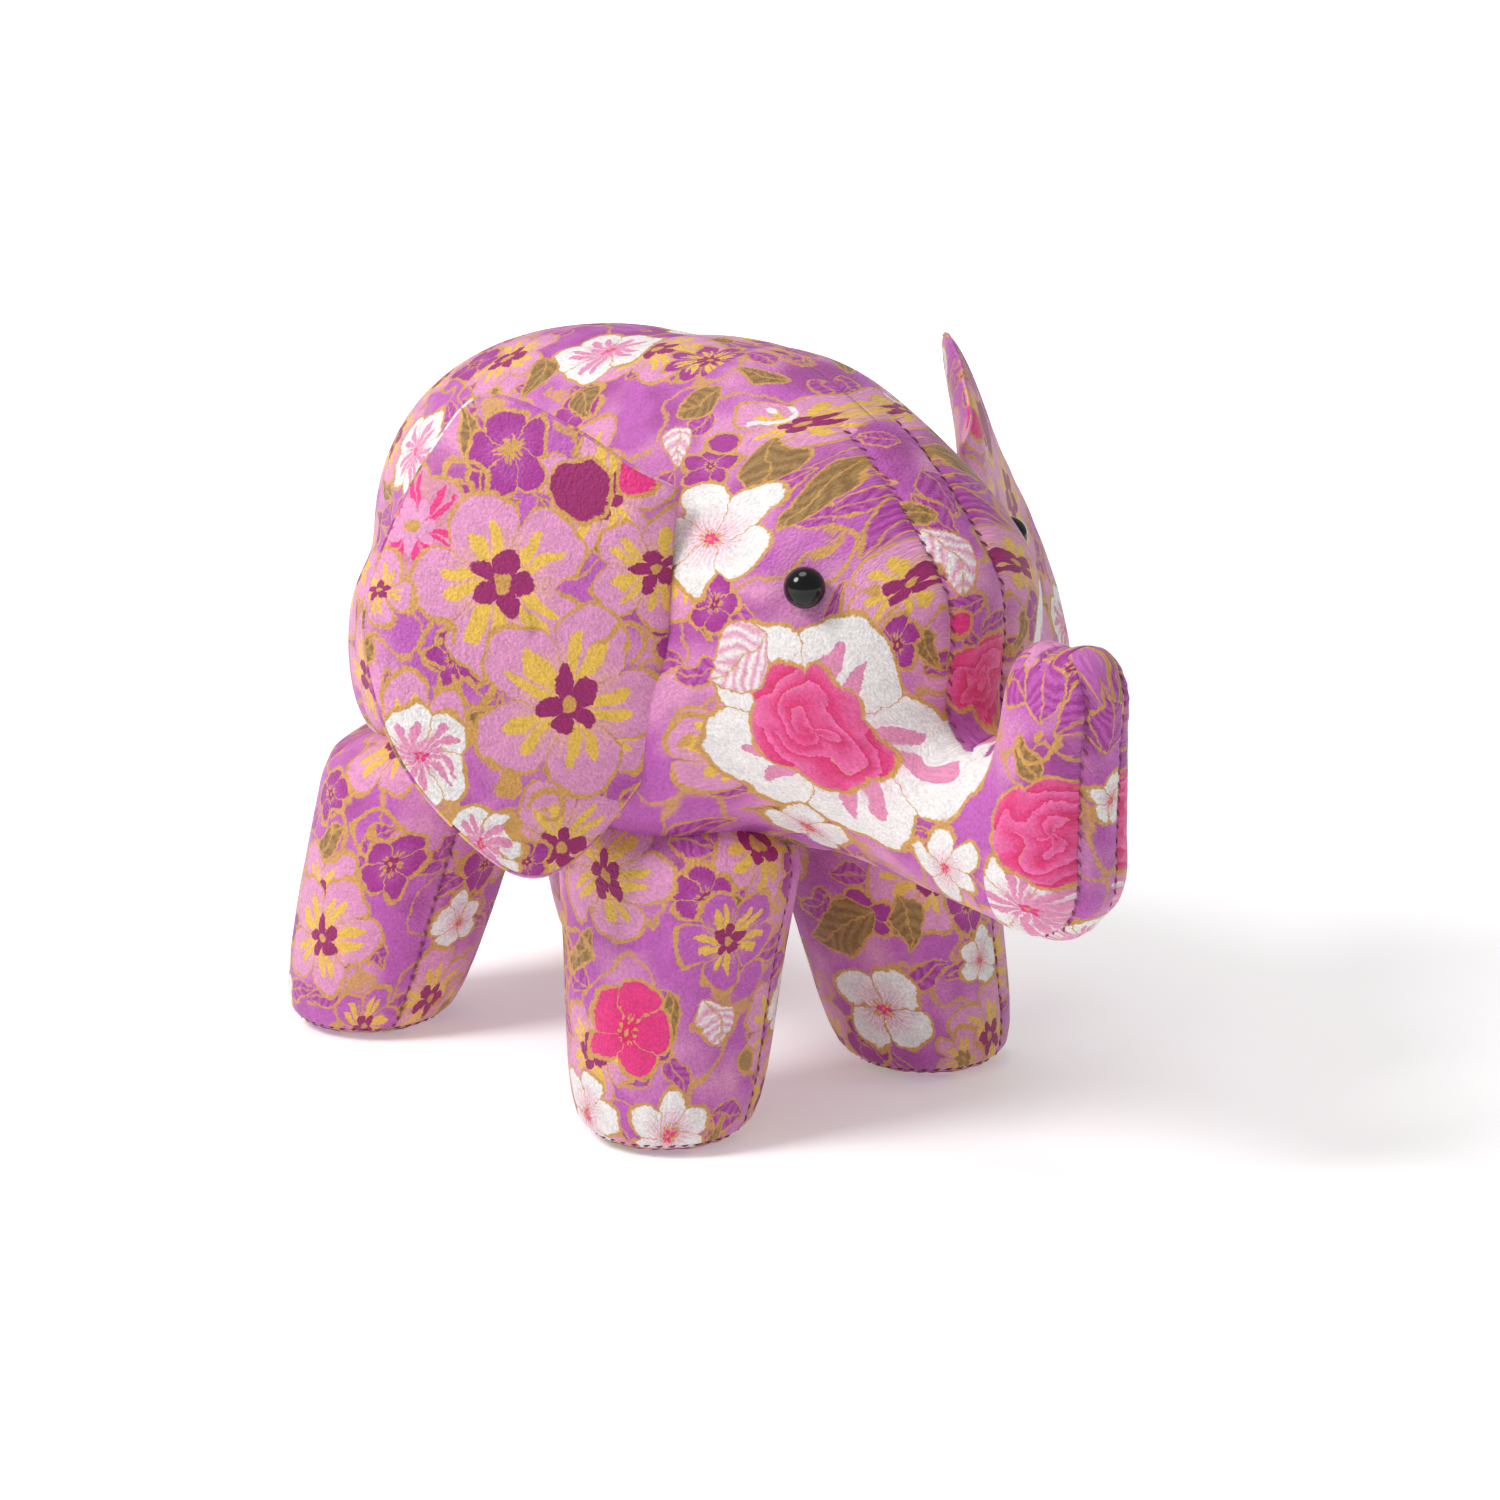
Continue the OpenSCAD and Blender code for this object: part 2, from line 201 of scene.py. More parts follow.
def normals_of(obj):
    normals = np.zeros(len(obj.data.vertices) * 3)
    obj.data.vertex_normals.foreach_get("vector", normals)
    return normals.reshape(-1, 3)


def set_points(obj, points):
    obj.data.vertices.foreach_set("co", np.asarray(points, float).ravel())
    obj.data.update()


# %% [markdown]
# ## Filling the cloth
# A short cloth simulation blows each form up under pressure while its seam lines are held still, so
# the cloth crowns between the seams. It runs on a scale where a unit is 20 mm, because cloth this
# small would need very small steps. How far a point may move is capped.

# %% Pressure simulation
SIM_SCALE = 0.05


def fill_with_stuffing(obj, held, pressure=3.0, frames=14, cap=2.5):
    before = points_of(obj)
    set_points(obj, before * SIM_SCALE)
    pins = obj.vertex_groups.new(name="held")
    for i in np.flatnonzero(held > 0.02):
        pins.add([int(i)], float(held[i]), "REPLACE")
    cloth = obj.modifiers.new("cloth", "CLOTH")
    cloth.settings.vertex_group_mass = "held"
    cloth.settings.use_pressure = True
    cloth.settings.uniform_pressure_force = pressure
    cloth.settings.effector_weights.gravity = 0
    cloth.settings.quality = 4
    cloth.settings.shrink_min = -0.02
    cloth.point_cache.frame_end = frames
    for f in range(1, frames + 1):
        scene.frame_set(f)
    apply_modifiers(obj)
    scene.frame_set(1)
    moved = points_of(obj) / SIM_SCALE - before
    far = np.linalg.norm(moved, axis=1, keepdims=True)
    moved *= np.minimum(1, cap / np.maximum(far, 1e-9))
    set_points(obj, before + moved)
    obj.vertex_groups.clear()
    print(obj.name, "moved up to", round(float(far.max()), 2), "mm before the cap")


# %% [markdown]
# ## Seams
# A seam is a line over the surface. The cloth dips into it, and small puckers run out of it, because
# the thread draws the two edges together. The points of a seam are found by casting rays at the form.

# %% Seam lines and the dip along them
def surface_of(obj):
    bm = bmesh.new()
    bm.from_mesh(obj.data)
    tree = BVHTree.FromBMesh(bm)
    bm.free()
    return tree


def cast(tree, start, direction):
    hit = tree.ray_cast(Vector(start), Vector(direction).normalized())
    return (hit[0], hit[1]) if hit[0] is not None else None


def spaced(line, step):
    points = np.array([p for p in line], float)
    along = np.concatenate([[0], np.cumsum(np.linalg.norm(np.diff(points, axis=0), axis=1))])
    at = np.arange(0, along[-1], step)
    return [Vector([float(np.interp(t, along, points[:, k])) for k in range(3)]) for t in at]


def draw_in(obj, seams, depth=0.8, width=1.1, pucker=0.12, pitch=4.5, reach=5.0):
    """Dips the cloth along seams, each a list of points, and adds the puckers beside them."""
    tree = KDTree(sum(len(s) for s in seams))
    along = []
    for seam in seams:
        for i, p in enumerate(seam):
            tree.insert(p, len(along))
            along.append(i)
    tree.balance()
    points, normals = points_of(obj), normals_of(obj)
    step = (seams[0][1] - seams[0][0]).length
    for i, p in enumerate(points):
        _, index, d = tree.find(p)
        if d > 3 * reach:
            continue
        s = along[index] * step
        wave = math.sin(2 * math.pi * s / pitch + 6 * noise.noise(Vector(p) / 9))
        swell = pucker * wave * math.exp(-((d / reach) ** 2)) * (1 - math.exp(-((d / 1.2) ** 2)))
        dip = depth * math.exp(-((d / width) ** 2)) + 0.35 * depth * math.exp(-((d / reach) ** 2))
        points[i] = p + normals[i] * (swell - dip)
    set_points(obj, points)

# %% [markdown]
# ## The body
# Torso, head and trunk share one outer cloth. The form is made once as a whole, so that the panels
# meet exactly, and is then cut into its panels along the seams.

# %% The form of torso, head and trunk
TORSO_HALF = Vector((65, 40, 46.5))
TORSO_MIDDLE = Vector((RUMP_X + TORSO_HALF.x + 1, 0, BELLY_Z + 45.5))
CHEST_HALF = (46, 40, 45.5)
HEAD_HALF = (50, 37, 46)
JAW_HALF = (30, 31, 30)
HAUNCH_HALF = {"front": (28.5, 24, 26), "rear": (21, 19.5, 25)}
TRUNK_ROOT = HEAD_MIDDLE + Vector((16, 0, -23))
TRUNK_ROOT_R, TRUNK_BEND_R, TRUNK_TIP_R = 23.5, 13.5, 11.5
LIPS = ELBOW + Vector((3, 0, 33))
BODY_VOXEL = 2.4


def body_form():
    bm = bmesh.new()
    ball(bm, TORSO_MIDDLE, TORSO_HALF, 2.2)
    ball(bm, TORSO_MIDDLE + Vector((26, 0, 2)), CHEST_HALF, 2.2)
    ball(bm, HEAD_MIDDLE, HEAD_HALF, 2.15)
    ball(bm, HEAD_MIDDLE + Vector((16, 0, -16)), JAW_HALF, 2.1)
    for end, side in LEGS:
        ball(bm, haunch_of(end, side), HAUNCH_HALF[end], 2.5)
    tube(bm, TRUNK_ROOT, ELBOW, TRUNK_ROOT_R, TRUNK_BEND_R)
    ball(bm, ELBOW, (14, 14, 14))
    tube(bm, ELBOW, LIPS, TRUNK_BEND_R + 0.1, TRUNK_TIP_R)
    ball(bm, LIPS + Vector((-5.4, 0, 0)), (6.6, 9, 10.5))
    ball(bm, LIPS + Vector((5.2, 0, 0)), (7.2, 9.6, 11.5))
    made = new_object("body_form", bm)
    remesh(made, BODY_VOXEL)
    return made


# %% The forehead, drawn back by its strip
FLAT_FROM, FLAT_FULL = 10.0, 36.0
DRAWN_BACK, DRAWN_DOWN, NARROWER = 6.0, 3.5, 0.14


def flatten_forehead(obj):
    """Moves the top of the head back, down and inwards, more the higher and further ahead it is."""
    points = points_of(obj)
    low = np.clip((HEAD_MIDDLE.z + FLAT_FULL - points[:, 2]) / (FLAT_FULL - FLAT_FROM), 0, 1)
    high = 1 - low ** 2
    high[points[:, 2] < HEAD_MIDDLE.z + FLAT_FROM] = 0
    ahead = np.clip((points[:, 0] - HEAD_MIDDLE.x + 12) / 34, 0, 1)
    ahead = ahead * ahead * (3 - 2 * ahead) * high
    points[:, 0] -= DRAWN_BACK * ahead
    points[:, 1] *= 1 - NARROWER * ahead
    points[:, 2] -= DRAWN_DOWN * ahead
    set_points(obj, points)


body = body_form()
flatten_forehead(body)
smooth(body, 6)
print("body form:", len(body.data.vertices), "points")

# %% The seams of the body
FOREHEAD_HALF = 7.0
UNDER_HALF = 5.0


def seams_of_body(tree):
    """Casts the seam lines of the forehead strip and of the strip under the trunk."""
    lines = {}
    crease = HEAD_MIDDLE + Vector((57.5, 0, -23.5))
    for side in (-1, 1):
        y = FOREHEAD_HALF * side
        forehead = []
        for step in range(0, 45):
            angle = math.radians(64 - step * 2.2)
            hit = cast(tree, (HEAD_MIDDLE.x, y, HEAD_MIDDLE.z),
                       (math.cos(angle), 0, math.sin(angle)))
            if hit and hit[0].x < crease.x + 2:
                forehead.append(hit[0])
        lines["forehead", side] = spaced(forehead, 1.0)
        under = []
        for step in range(0, 26):
            x = HEAD_MIDDLE.x + 22 + step * (ELBOW.x - HEAD_MIDDLE.x - 22) / 25
            hit = cast(tree, (x, UNDER_HALF * side, 0), (0, 0, 1))
            if hit:
                under.append(hit[0])
        for step in range(1, 13):
            angle = math.radians(-90 + step * 7.5)
            start = (ELBOW.x, UNDER_HALF * side, ELBOW.z)
            hit = cast(tree, start, (math.cos(angle), 0, math.sin(angle)))
            if hit:
                under.append(hit[0])
        for step in range(1, 22):
            hit = cast(tree, (ELBOW.x + 6, UNDER_HALF * side, ELBOW.z + step * 2.0), (1, 0, 0))
            if hit:
                under.append(hit[0])
        lines["under", side] = spaced(under, 1.0)
    return lines


tree = surface_of(body)
body_seams = seams_of_body(tree)
print({k: len(v) for k, v in body_seams.items()})


def held_near(obj, seams, width):
    tree = KDTree(sum(len(s) for s in seams))
    for i, p in enumerate(p for s in seams for p in s):
        tree.insert(p, i)
    tree.balance()
    return np.array([max(0.0, 1 - tree.find(p)[2] / width) for p in points_of(obj)])


fill_with_stuffing(body, held_near(body, list(body_seams.values()), 4.0))
subdivide(body)
tree = surface_of(body)
body_seams = seams_of_body(tree)

# %% [markdown]
# The thread between the eyes pulls the cloth in, so each bead sits in a shallow hollow. The left
# bead is pulled deeper than the right one.

# %% Seams drawn in, and hollows under the eyes
EYE_R = 3.9
eye_at = {}
for side in (-1, 1):
    eye_at[side] = cast(tree, (EYE[side].x, 0, EYE[side].z), (0, side, 0))


def press_in(obj, middle, depth, width):
    points, normals = points_of(obj), normals_of(obj)
    d = np.linalg.norm(points - np.array(middle), axis=1)
    points -= normals * (depth * np.exp(-((d / width) ** 2)))[:, None]
    set_points(obj, points)


draw_in(body, list(body_seams.values()))
press_in(body, eye_at[-1][0], 2.0, 6.5)
press_in(body, eye_at[1][0], 1.0, 5.0)
print("body:", len(body.data.vertices), "points")

# %% [markdown]
# ## Cutting the body's cloth into panels
# The whole form is sliced along the seam planes, and each panel keeps the faces on its own side. A
# Solidify modifier gives every panel the thickness of its cloth, inwards.

# %% Where each panel lies
BELLY_HALF = 20.0
BELLY_TOP = BELLY_Z + 8
CREASE_Z = HEAD_MIDDLE.z - 23
BEND_X = ELBOW.x - 15


def panel_of(c, n):
    on_head = c.x > HEAD_MIDDLE.x + 20 and c.x < BEND_X and c.z > CREASE_Z
    on_trunk_back = c.x > BEND_X and c.x < ELBOW.x + 4 and n.x < -0.1 and c.z > CREASE_Z - 3
    if abs(c.y) < FOREHEAD_HALF and (on_head or on_trunk_back):
        return "forehead"
    below = c.x > HEAD_MIDDLE.x + 22 and c.z < ELBOW.z and n.z < 0
    before = c.x > ELBOW.x and c.z >= ELBOW.z and n.x > 0
    if abs(c.y) < UNDER_HALF and (below or before):
        return "under"
    if abs(c.y) < BELLY_HALF and c.z < BELLY_TOP and c.x < HEAD_MIDDLE.x + 22:
        return "belly"
    return "right" if c.y < 0 else "left"


def slice_at(bm, point, normal):
    bmesh.ops.bisect_plane(
        bm, geom=bm.verts[:] + bm.edges[:] + bm.faces[:], plane_co=point, plane_no=normal, dist=1e-4
    )


def cut_panels(obj):
    whole = bmesh.new()
    whole.from_mesh(obj.data)
    for y in (0, FOREHEAD_HALF, UNDER_HALF, BELLY_HALF):
        for side in (-1, 1) if y else (1,):
            slice_at(whole, (0, y * side, 0), (0, 1, 0))
    slice_at(whole, (0, 0, BELLY_TOP), (0, 0, 1))
    whole.faces.ensure_lookup_table()
    kinds = [panel_of(f.calc_center_median(), f.normal) for f in whole.faces]
    panels = {}
    for kind in sorted(set(kinds)):
        part = whole.copy()
        part.faces.ensure_lookup_table()
        others = [f for f, k in zip(part.faces, kinds) if k != kind]
        bmesh.ops.delete(part, geom=others, context="FACES")
        panels[kind] = new_object(kind, part)
    whole.free()
    return panels


body_tree = surface_of(body)
panels = cut_panels(body)
print({k: len(o.data.polygons) for k, o in panels.items()})

# %% [markdown]
# ## Cloth coordinates
# The print has to lie in the cloth, so each panel carries an attribute with its flat place on the
# cloth in millimetres: along, across. Where the form curves away, the flat length grows as the
# arc does, which keeps a printed circle round.

# %% Flat places of the body's cloth
HEAD_R = 50.0
BODY_R = 47.0
RUMP_R = 69.0
RUMP_TO_MIDDLE = 68
CHEEK_END = (71, 76)
FEET_X = sum(sole_middle(end, side).x for end, side in LEGS) / 4


def arc(value, middle, radius):
    return middle + radius * np.arcsin(np.clip((value - middle) / radius, -0.985, 0.985))


def ease(value, low, high):
    t = np.clip((value - low) / (high - low), 0, 1)
    return t * t * (3 - 2 * t)


def side_cloth(points):
    x, z = points[:, 0], points[:, 2]
    rump_middle = RUMP_X + RUMP_TO_MIDDLE
    along = np.where(x < rump_middle, arc(x, rump_middle, RUMP_R), x)
    round_head = arc(np.minimum(x, HEAD_MIDDLE.x + HEAD_R - 1), HEAD_MIDDLE.x, HEAD_R)
    over_head = np.where(x > HEAD_MIDDLE.x, round_head, x)
    share = ease(z, HEAD_MIDDLE.z - 30, HEAD_MIDDLE.z - 8) * (1 - ease(x, *CHEEK_END))
    along = np.where(x > HEAD_MIDDLE.x, x + share * (over_head - x), along)
    round_body = 1 - ease(x, HEAD_MIDDLE.x + 38, HEAD_MIDDLE.x + 54)
    middle = HEAD_MIDDLE.z - 2
    around = middle + BODY_R * np.arctan2(z - middle, np.abs(points[:, 1]) * 1.12)
    around += ease(x, HEAD_MIDDLE.x, HEAD_MIDDLE.x + 22) * (arc(z, middle, BODY_R) - around)
    return along - FEET_X, z + round_body * (around - z)


def strip_cloth(points):
    middle = np.array(HEAD_MIDDLE)
    angle = np.arctan2(points[:, 0] - middle[0], points[:, 2] - middle[2])
    return points[:, 1], HEAD_R * -angle


def under_cloth(points):
    return points[:, 0] + points[:, 2] - FEET_X, points[:, 1]


def belly_cloth(points):
    return points[:, 0] - FEET_X, points[:, 1]


def lay_cloth(obj, flat):
    """Writes the flat place of every point to the attribute that the cloth materials read."""
    along, across = flat(points_of(obj))
    layer = obj.data.attributes.new("flat", "FLOAT_VECTOR", "POINT")
    places = np.stack([along, across, np.zeros(len(along))], axis=1)
    layer.data.foreach_set("vector", places.ravel())


# %% Finishing a piece
def finish_piece(obj, name, body_name, nodes, thickness=0.0):
    """Names the piece, brings it to metres, gives the cloth its thickness and ties it to a body."""
    obj.name = obj.data.name = name
    set_points(obj, points_of(obj) * MM)
    obj.data.polygons.foreach_set("use_smooth", [True] * len(obj.data.polygons))
    if thickness:
        wall = obj.modifiers.new("thickness", "SOLIDIFY")
        wall.thickness = thickness * MM
        wall.offset = -1
    if body_name:
        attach(obj, body_name)
    if nodes:
        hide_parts(*nodes)
    return obj


CLOTH_T = 0.7
cloth_pieces = {}
for kind, name, flat, nodes in (
    ("right", "side_cloth_right", side_cloth, ["side_panel_right", "trunk_panel_right"]),
    ("left", "side_cloth_left", side_cloth, ["side_panel_left", "trunk_panel_left"]),
    ("forehead", "forehead_cloth", strip_cloth, ["forehead_strip"]),
    ("under", "trunk_under_cloth", under_cloth, ["trunk_root_strip", "trunk_strip"]),
    ("belly", "belly_cloth", belly_cloth, ["belly_panel"]),
):
    lay_cloth(panels[kind], flat)
    blended = kind != "belly"
    piece = finish_piece(panels[kind], name, None if blended else "body", nodes, CLOTH_T)
    if blended:
        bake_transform(piece)
    cloth_pieces[name] = piece

# %% [markdown]
# ## Fillings
# The filling of the body is the same form, drawn in by the cloth and its seams. It is cut at the
# bend, so that the trunk's own filling turns with the trunk.

# %% Fillings of the body and the trunk
def shrunk(obj, inset):
    copy = bpy.data.objects.new(obj.name + "_inside", obj.data.copy())
    scene.collection.objects.link(copy)
    set_points(copy, points_of(copy) - normals_of(copy) * inset)
    return copy


def keep_one_side(obj, point, normal):
    bm = bmesh.new()
    bm.from_mesh(obj.data)
    bmesh.ops.bisect_plane(
        bm, geom=bm.verts[:] + bm.edges[:] + bm.faces[:], plane_co=point, plane_no=normal,
        dist=1e-4, clear_inner=True,
    )
    bmesh.ops.holes_fill(bm, edges=[e for e in bm.edges if e.is_boundary])
    bmesh.ops.triangulate(bm, faces=[f for f in bm.faces if len(f.verts) > 4])
    bm.to_mesh(obj.data)
    bm.free()


remesh(body, 2.6)
trunk_core = shrunk(body, 2.4)
body_core = shrunk(body, 2.4)
keep_one_side(trunk_core, (ELBOW.x - 5, 0, 0), (1, 0, 0))
keep_one_side(body_core, (ELBOW.x - 17, 0, 0), (-1, 0, 0))
bpy.data.objects.remove(body)
fillings = [
    finish_piece(body_core, "body_stuffing", "body", ["torso_filling", "head_filling"]),
    finish_piece(trunk_core, "trunk_stuffing", "trunk", ["trunk_filling"]),
]

# %% [markdown]
# ## Legs
# Each leg is two panels around a filling, closed by a sole. A profile is spun into a tapered form,
# leaned towards the hip without tilting the sole, and drawn in along its seams.

# %% Leg form
LEG_PROFILE = [
    (0, 0.0), (8, 0.0), (12.6, 0.2), (15.6, 1.4), (17.6, 4.2), (18.8, 8), (19.8, 14), (20.8, 24),
    (21.8, 36), (22.8, 46), (23.4, 53), (22.4, 58.5), (17, 63), (9, 65), (0, 65.5),
]
LEG_STEPS = 56
LEG_R = 21.0
SOLE_SEAM = (15.6, 1.4)
SEAM_TURN = {
    ("front", "right"): 25, ("front", "left"): 25, ("rear", "right"): -17, ("rear", "left"): 17,
}
LEG_WIDTH = {"front": 1.13, "rear": 1.0}


def leg_form():
    bm = bmesh.new()
    rows = [bm.verts.new((r, 0, h)) for r, h in LEG_PROFILE]
    edges = [bm.edges.new(pair) for pair in zip(rows, rows[1:])]
    bmesh.ops.subdivide_edges(bm, edges=edges[3:], cuts=2)
    bmesh.ops.spin(
        bm, geom=bm.verts[:] + bm.edges[:], cent=(0, 0, 0), axis=(0, 0, 1),
        angle=2 * math.pi, steps=LEG_STEPS, use_merge=True,
    )
    bmesh.ops.remove_doubles(bm, verts=bm.verts, dist=0.01)
    bmesh.ops.recalc_face_normals(bm, faces=bm.faces)
    made = new_object("leg", bm)
    subdivide(made)
    return made


def leaned(points, end, side):
    """Turns the seams to their place and moves every level sideways, so the sole stays flat."""
    sole, hip = sole_middle(end, side), haunch_of(end, side)
    turn = math.radians(SEAM_TURN[end, side])
    x = points[:, 0] * math.cos(turn) - points[:, 1] * math.sin(turn)
    y = points[:, 0] * math.sin(turn) + points[:, 1] * math.cos(turn)
    h = points[:, 2] / LEG_TOP
    grown = ease(points[:, 2], 26, 56)
    x = x * (1 + (LEG_WIDTH[end] - 1) * grown) + sole.x + (hip.x - sole.x) * h
    y = y * (1 - 0.07 * grown) + sole.y + (hip.y - sole.y) * h
    return np.stack([x, y, points[:, 2]], axis=1)


def lean(obj, end, side):
    set_points(obj, leaned(points_of(obj), end, side))


def leg_seams():
    lines = []
    for way in (-1, 1):
        lines.append(spaced([Vector((way * r, 0, h)) for r, h in LEG_PROFILE[3:]], 1.0))
    r, h = SOLE_SEAM
    ring = [Vector((r * math.cos(a), r * math.sin(a), h)) for a in np.linspace(0, 2 * math.pi, 73)]
    lines.append(spaced(ring, 1.0))
    return lines


def leg_cloth(points):
    angle = np.arctan2(points[:, 0], np.abs(points[:, 1]))
    return angle * LEG_R, points[:, 2]


def split_leg(obj):
    whole = bmesh.new()
    whole.from_mesh(obj.data)
    slice_at(whole, (0, 0, 0), (0, 1, 0))
    slice_at(whole, (0, 0, SOLE_SEAM[1]), (0, 0, 1))
    whole.faces.ensure_lookup_table()
    kinds = []
    for f in whole.faces:
        c = f.calc_center_median()
        kinds.append("sole" if c.z < SOLE_SEAM[1] else "plus" if c.y > 0 else "minus")
    parts = {}
    for kind in ("sole", "plus", "minus"):
        part = whole.copy()
        part.faces.ensure_lookup_table()
        others = [f for f, k in zip(part.faces, kinds) if k != kind]
        bmesh.ops.delete(part, geom=others, context="FACES")
        parts[kind] = new_object(kind, part)
    whole.free()
    return parts


leg_trees = {}
for end, side in LEGS:
    form = leg_form()
    draw_in(form, leg_seams(), depth=0.6)
    core = shrunk(form, 2.0)
    skin = shrunk(form, 0)
    lean(skin, end, side)
    leg_trees[end, side] = surface_of(skin)
    bpy.data.objects.remove(skin)
    parts = split_leg(form)
    bpy.data.objects.remove(form)
    outer = "plus" if side == "left" else "minus"
    inner = "minus" if side == "left" else "plus"
    name = f"{end}_{side}_leg"
    for kind, cloth_name, node in (
        (outer, f"{name}_outer_cloth", f"{name}_outer_panel"),
        (inner, f"{name}_inner_cloth", f"{name}_inner_panel"),
        ("sole", f"{end}_{side}_sole_cloth", f"{end}_{side}_sole"),
    ):
        lay_cloth(parts[kind], belly_cloth if kind == "sole" else leg_cloth)
        lean(parts[kind], end, side)
        piece = finish_piece(parts[kind], cloth_name, "body", [node], CLOTH_T)
        cloth_pieces[cloth_name] = piece
    lean(core, end, side)
    fillings.append(finish_piece(core, f"{name}_stuffing", "body", [f"{name}_filling"]))
print("legs:", len(LEGS))

# %% [markdown]
# ## Ears
# An ear is a front and a back panel, sewn face to face, turned, and padded. Its outline is a smooth
# curve through a few points, as reach behind the sewn edge against height. The ear twists: its top
# lies near the body, and its lower part stands out.

# %% Ear outline
EAR_ROOT = 48.0
EAR_REACH = 58.0
EAR_LIFT = 16.0
EAR_DROP = 23.0
EAR_FLARE = {-1: 50.0, 1: 54.0}
EAR_TWIST = 34.0
EAR_PADDING = 6.4
EAR_KEYS = [
    (0, EAR_ROOT / 2), (0.35 * EAR_REACH, EAR_ROOT / 2 + 0.73 * EAR_LIFT),
    (0.64 * EAR_REACH, EAR_ROOT / 2 + EAR_LIFT), (0.79 * EAR_REACH, EAR_ROOT / 2 + 0.45 * EAR_LIFT),
    (0.93 * EAR_REACH, 0.3 * EAR_ROOT), (EAR_REACH, -0.06 * EAR_ROOT),
    (0.9 * EAR_REACH, -0.52 * EAR_ROOT), (0.66 * EAR_REACH, -EAR_ROOT / 2 - 0.8 * EAR_DROP),
    (0.46 * EAR_REACH, -EAR_ROOT / 2 - 1.05 * EAR_DROP),
    (0.24 * EAR_REACH, -EAR_ROOT / 2 - 0.74 * EAR_DROP), (0, -EAR_ROOT / 2),
]


def curve_through(keys, steps):
    """A Catmull-Rom curve through the keys, open at both ends."""
    keys = [Vector(k) for k in keys]
    padded = [keys[0], *keys, keys[-1]]
    points = []
    for a, b, c, d in zip(padded, padded[1:], padded[2:], padded[3:]):
        for s in range(steps):
            f = s / steps
            points.append(
                b + (c - a) * f / 2 + (2 * a - 5 * b + 4 * c - d) * f * f / 2
                + (3 * b - a - 3 * c + d) * f ** 3 / 2
            )
    return points + [keys[-1]]


rim = curve_through(EAR_KEYS, 12)
rim += [Vector((0, -EAR_ROOT / 2 + EAR_ROOT * s / 36)) for s in range(1, 36)]
print("ear rim:", len(rim), "points")

# %% Ear sheets
EAR_RINGS = 26
EAR_CENTRE = Vector((0.45 * EAR_REACH, 0))
EAR_EDGE = 1.0


def ear_place(flat, offset, side):
    """A point of the ear from its reach and height, and how far it stands before the middle."""
    angle = math.radians(EAR_FLARE[side] - EAR_TWIST * flat.y / (EAR_ROOT + EAR_DROP))
    reach = flat.x + EAR_EDGE
    tuck = 2.4 * max(0.0, 1 - flat.x / 6) * (abs(flat.y) / (EAR_ROOT / 2)) ** 2
    return Vector((
        EAR_HINGE.x - reach * math.cos(angle) + offset * math.sin(angle),
        side * (EAR_HINGE.y - tuck + reach * math.sin(angle) + offset * math.cos(angle)),
        EAR_HINGE.z + flat.y,
    ))


def ring_share(k):
    """How far from the middle a ring lies, with the rings closer together near the rim."""
    return (k / EAR_RINGS) ** 0.8


def ear_sheet(face, side, inset=0.0):
    """One panel: rings from the middle to the rim, crowned by the padding."""
    bm = bmesh.new()
    rings = []
    for k in range(EAR_RINGS + 1):
        share = ring_share(k)
        crown = (EAR_PADDING / 2 + 0.9) * (1 - share ** 3.2) ** 0.6 - inset
        ring = []
        for p in rim if k else [EAR_CENTRE]:
            flat = EAR_CENTRE + (p - EAR_CENTRE) * (share * (1 - inset / 25))
            ripple = 0.35 * noise.noise(Vector((p.x / 5, p.y / 5, 0))) * share ** 4
            ring.append(bm.verts.new(ear_place(flat, face * max(crown, 0) + ripple, side)))
        rings.append(ring)
    n = len(rim)
    for i in range(n):
        bm.faces.new((rings[0][0], rings[1][i], rings[1][(i + 1) % n]))
    for a, b in zip(rings[1:], rings[2:]):
        for i in range(n):
            j = (i + 1) % n
            bm.faces.new((a[i], b[i], b[j], a[j]))
    return bm


def ear_flat_places():
    places = [(*EAR_CENTRE, 0)]
    for k in range(1, EAR_RINGS + 1):
        share = ring_share(k)
        places += [(*(EAR_CENTRE + (p - EAR_CENTRE) * share), 0) for p in rim]
    return places


def outward(obj, face, side):
    middle = len(obj.data.polygons) // 3
    angle = math.radians(EAR_FLARE[side])
    want = Vector((face * math.sin(angle), side * face * math.cos(angle), 0))
    if obj.data.polygons[middle].normal.dot(want) < 0:
        obj.data.flip_normals()


for side, side_name in ((-1, "right"), (1, "left")):
    for face, face_name in ((1, "front"), (-1, "back")):
        sheet = new_object("ear", ear_sheet(face, side))
        outward(sheet, face, side)
        layer = sheet.data.attributes.new("flat", "FLOAT_VECTOR", "POINT")
        layer.data.foreach_set("vector", np.array(ear_flat_places(), float).ravel())
        subdivide(sheet)
        name = f"ear_{side_name}_{face_name}_cloth"
        piece = finish_piece(
            sheet, name, f"ear_{side_name}", [f"ear_{side_name}_{face_name}_panel"], CLOTH_T
        )
        cloth_pieces[name] = piece
    core = ear_sheet(1, side, inset=1.2)
    back_core = ear_sheet(-1, side, inset=1.2)
    part = bpy.data.meshes.new("part")
    back_core.to_mesh(part)
    back_core.free()
    core.from_mesh(part)
    bpy.data.meshes.remove(part)
    bmesh.ops.remove_doubles(core, verts=core.verts, dist=0.02)
    bmesh.ops.recalc_face_normals(core, faces=core.faces)
    pad = finish_piece(
        new_object("pad", core), f"ear_{side_name}_pad", f"ear_{side_name}",
        [f"ear_{side_name}_padding"],
    )
    fillings.append(pad)


# %% [markdown]
# ## Eyes
# Each eye is a polished bead, flattened a little where it sits on the cloth. One thread runs from
# bead to bead through the head, and pulls the left bead deeper than the right one.

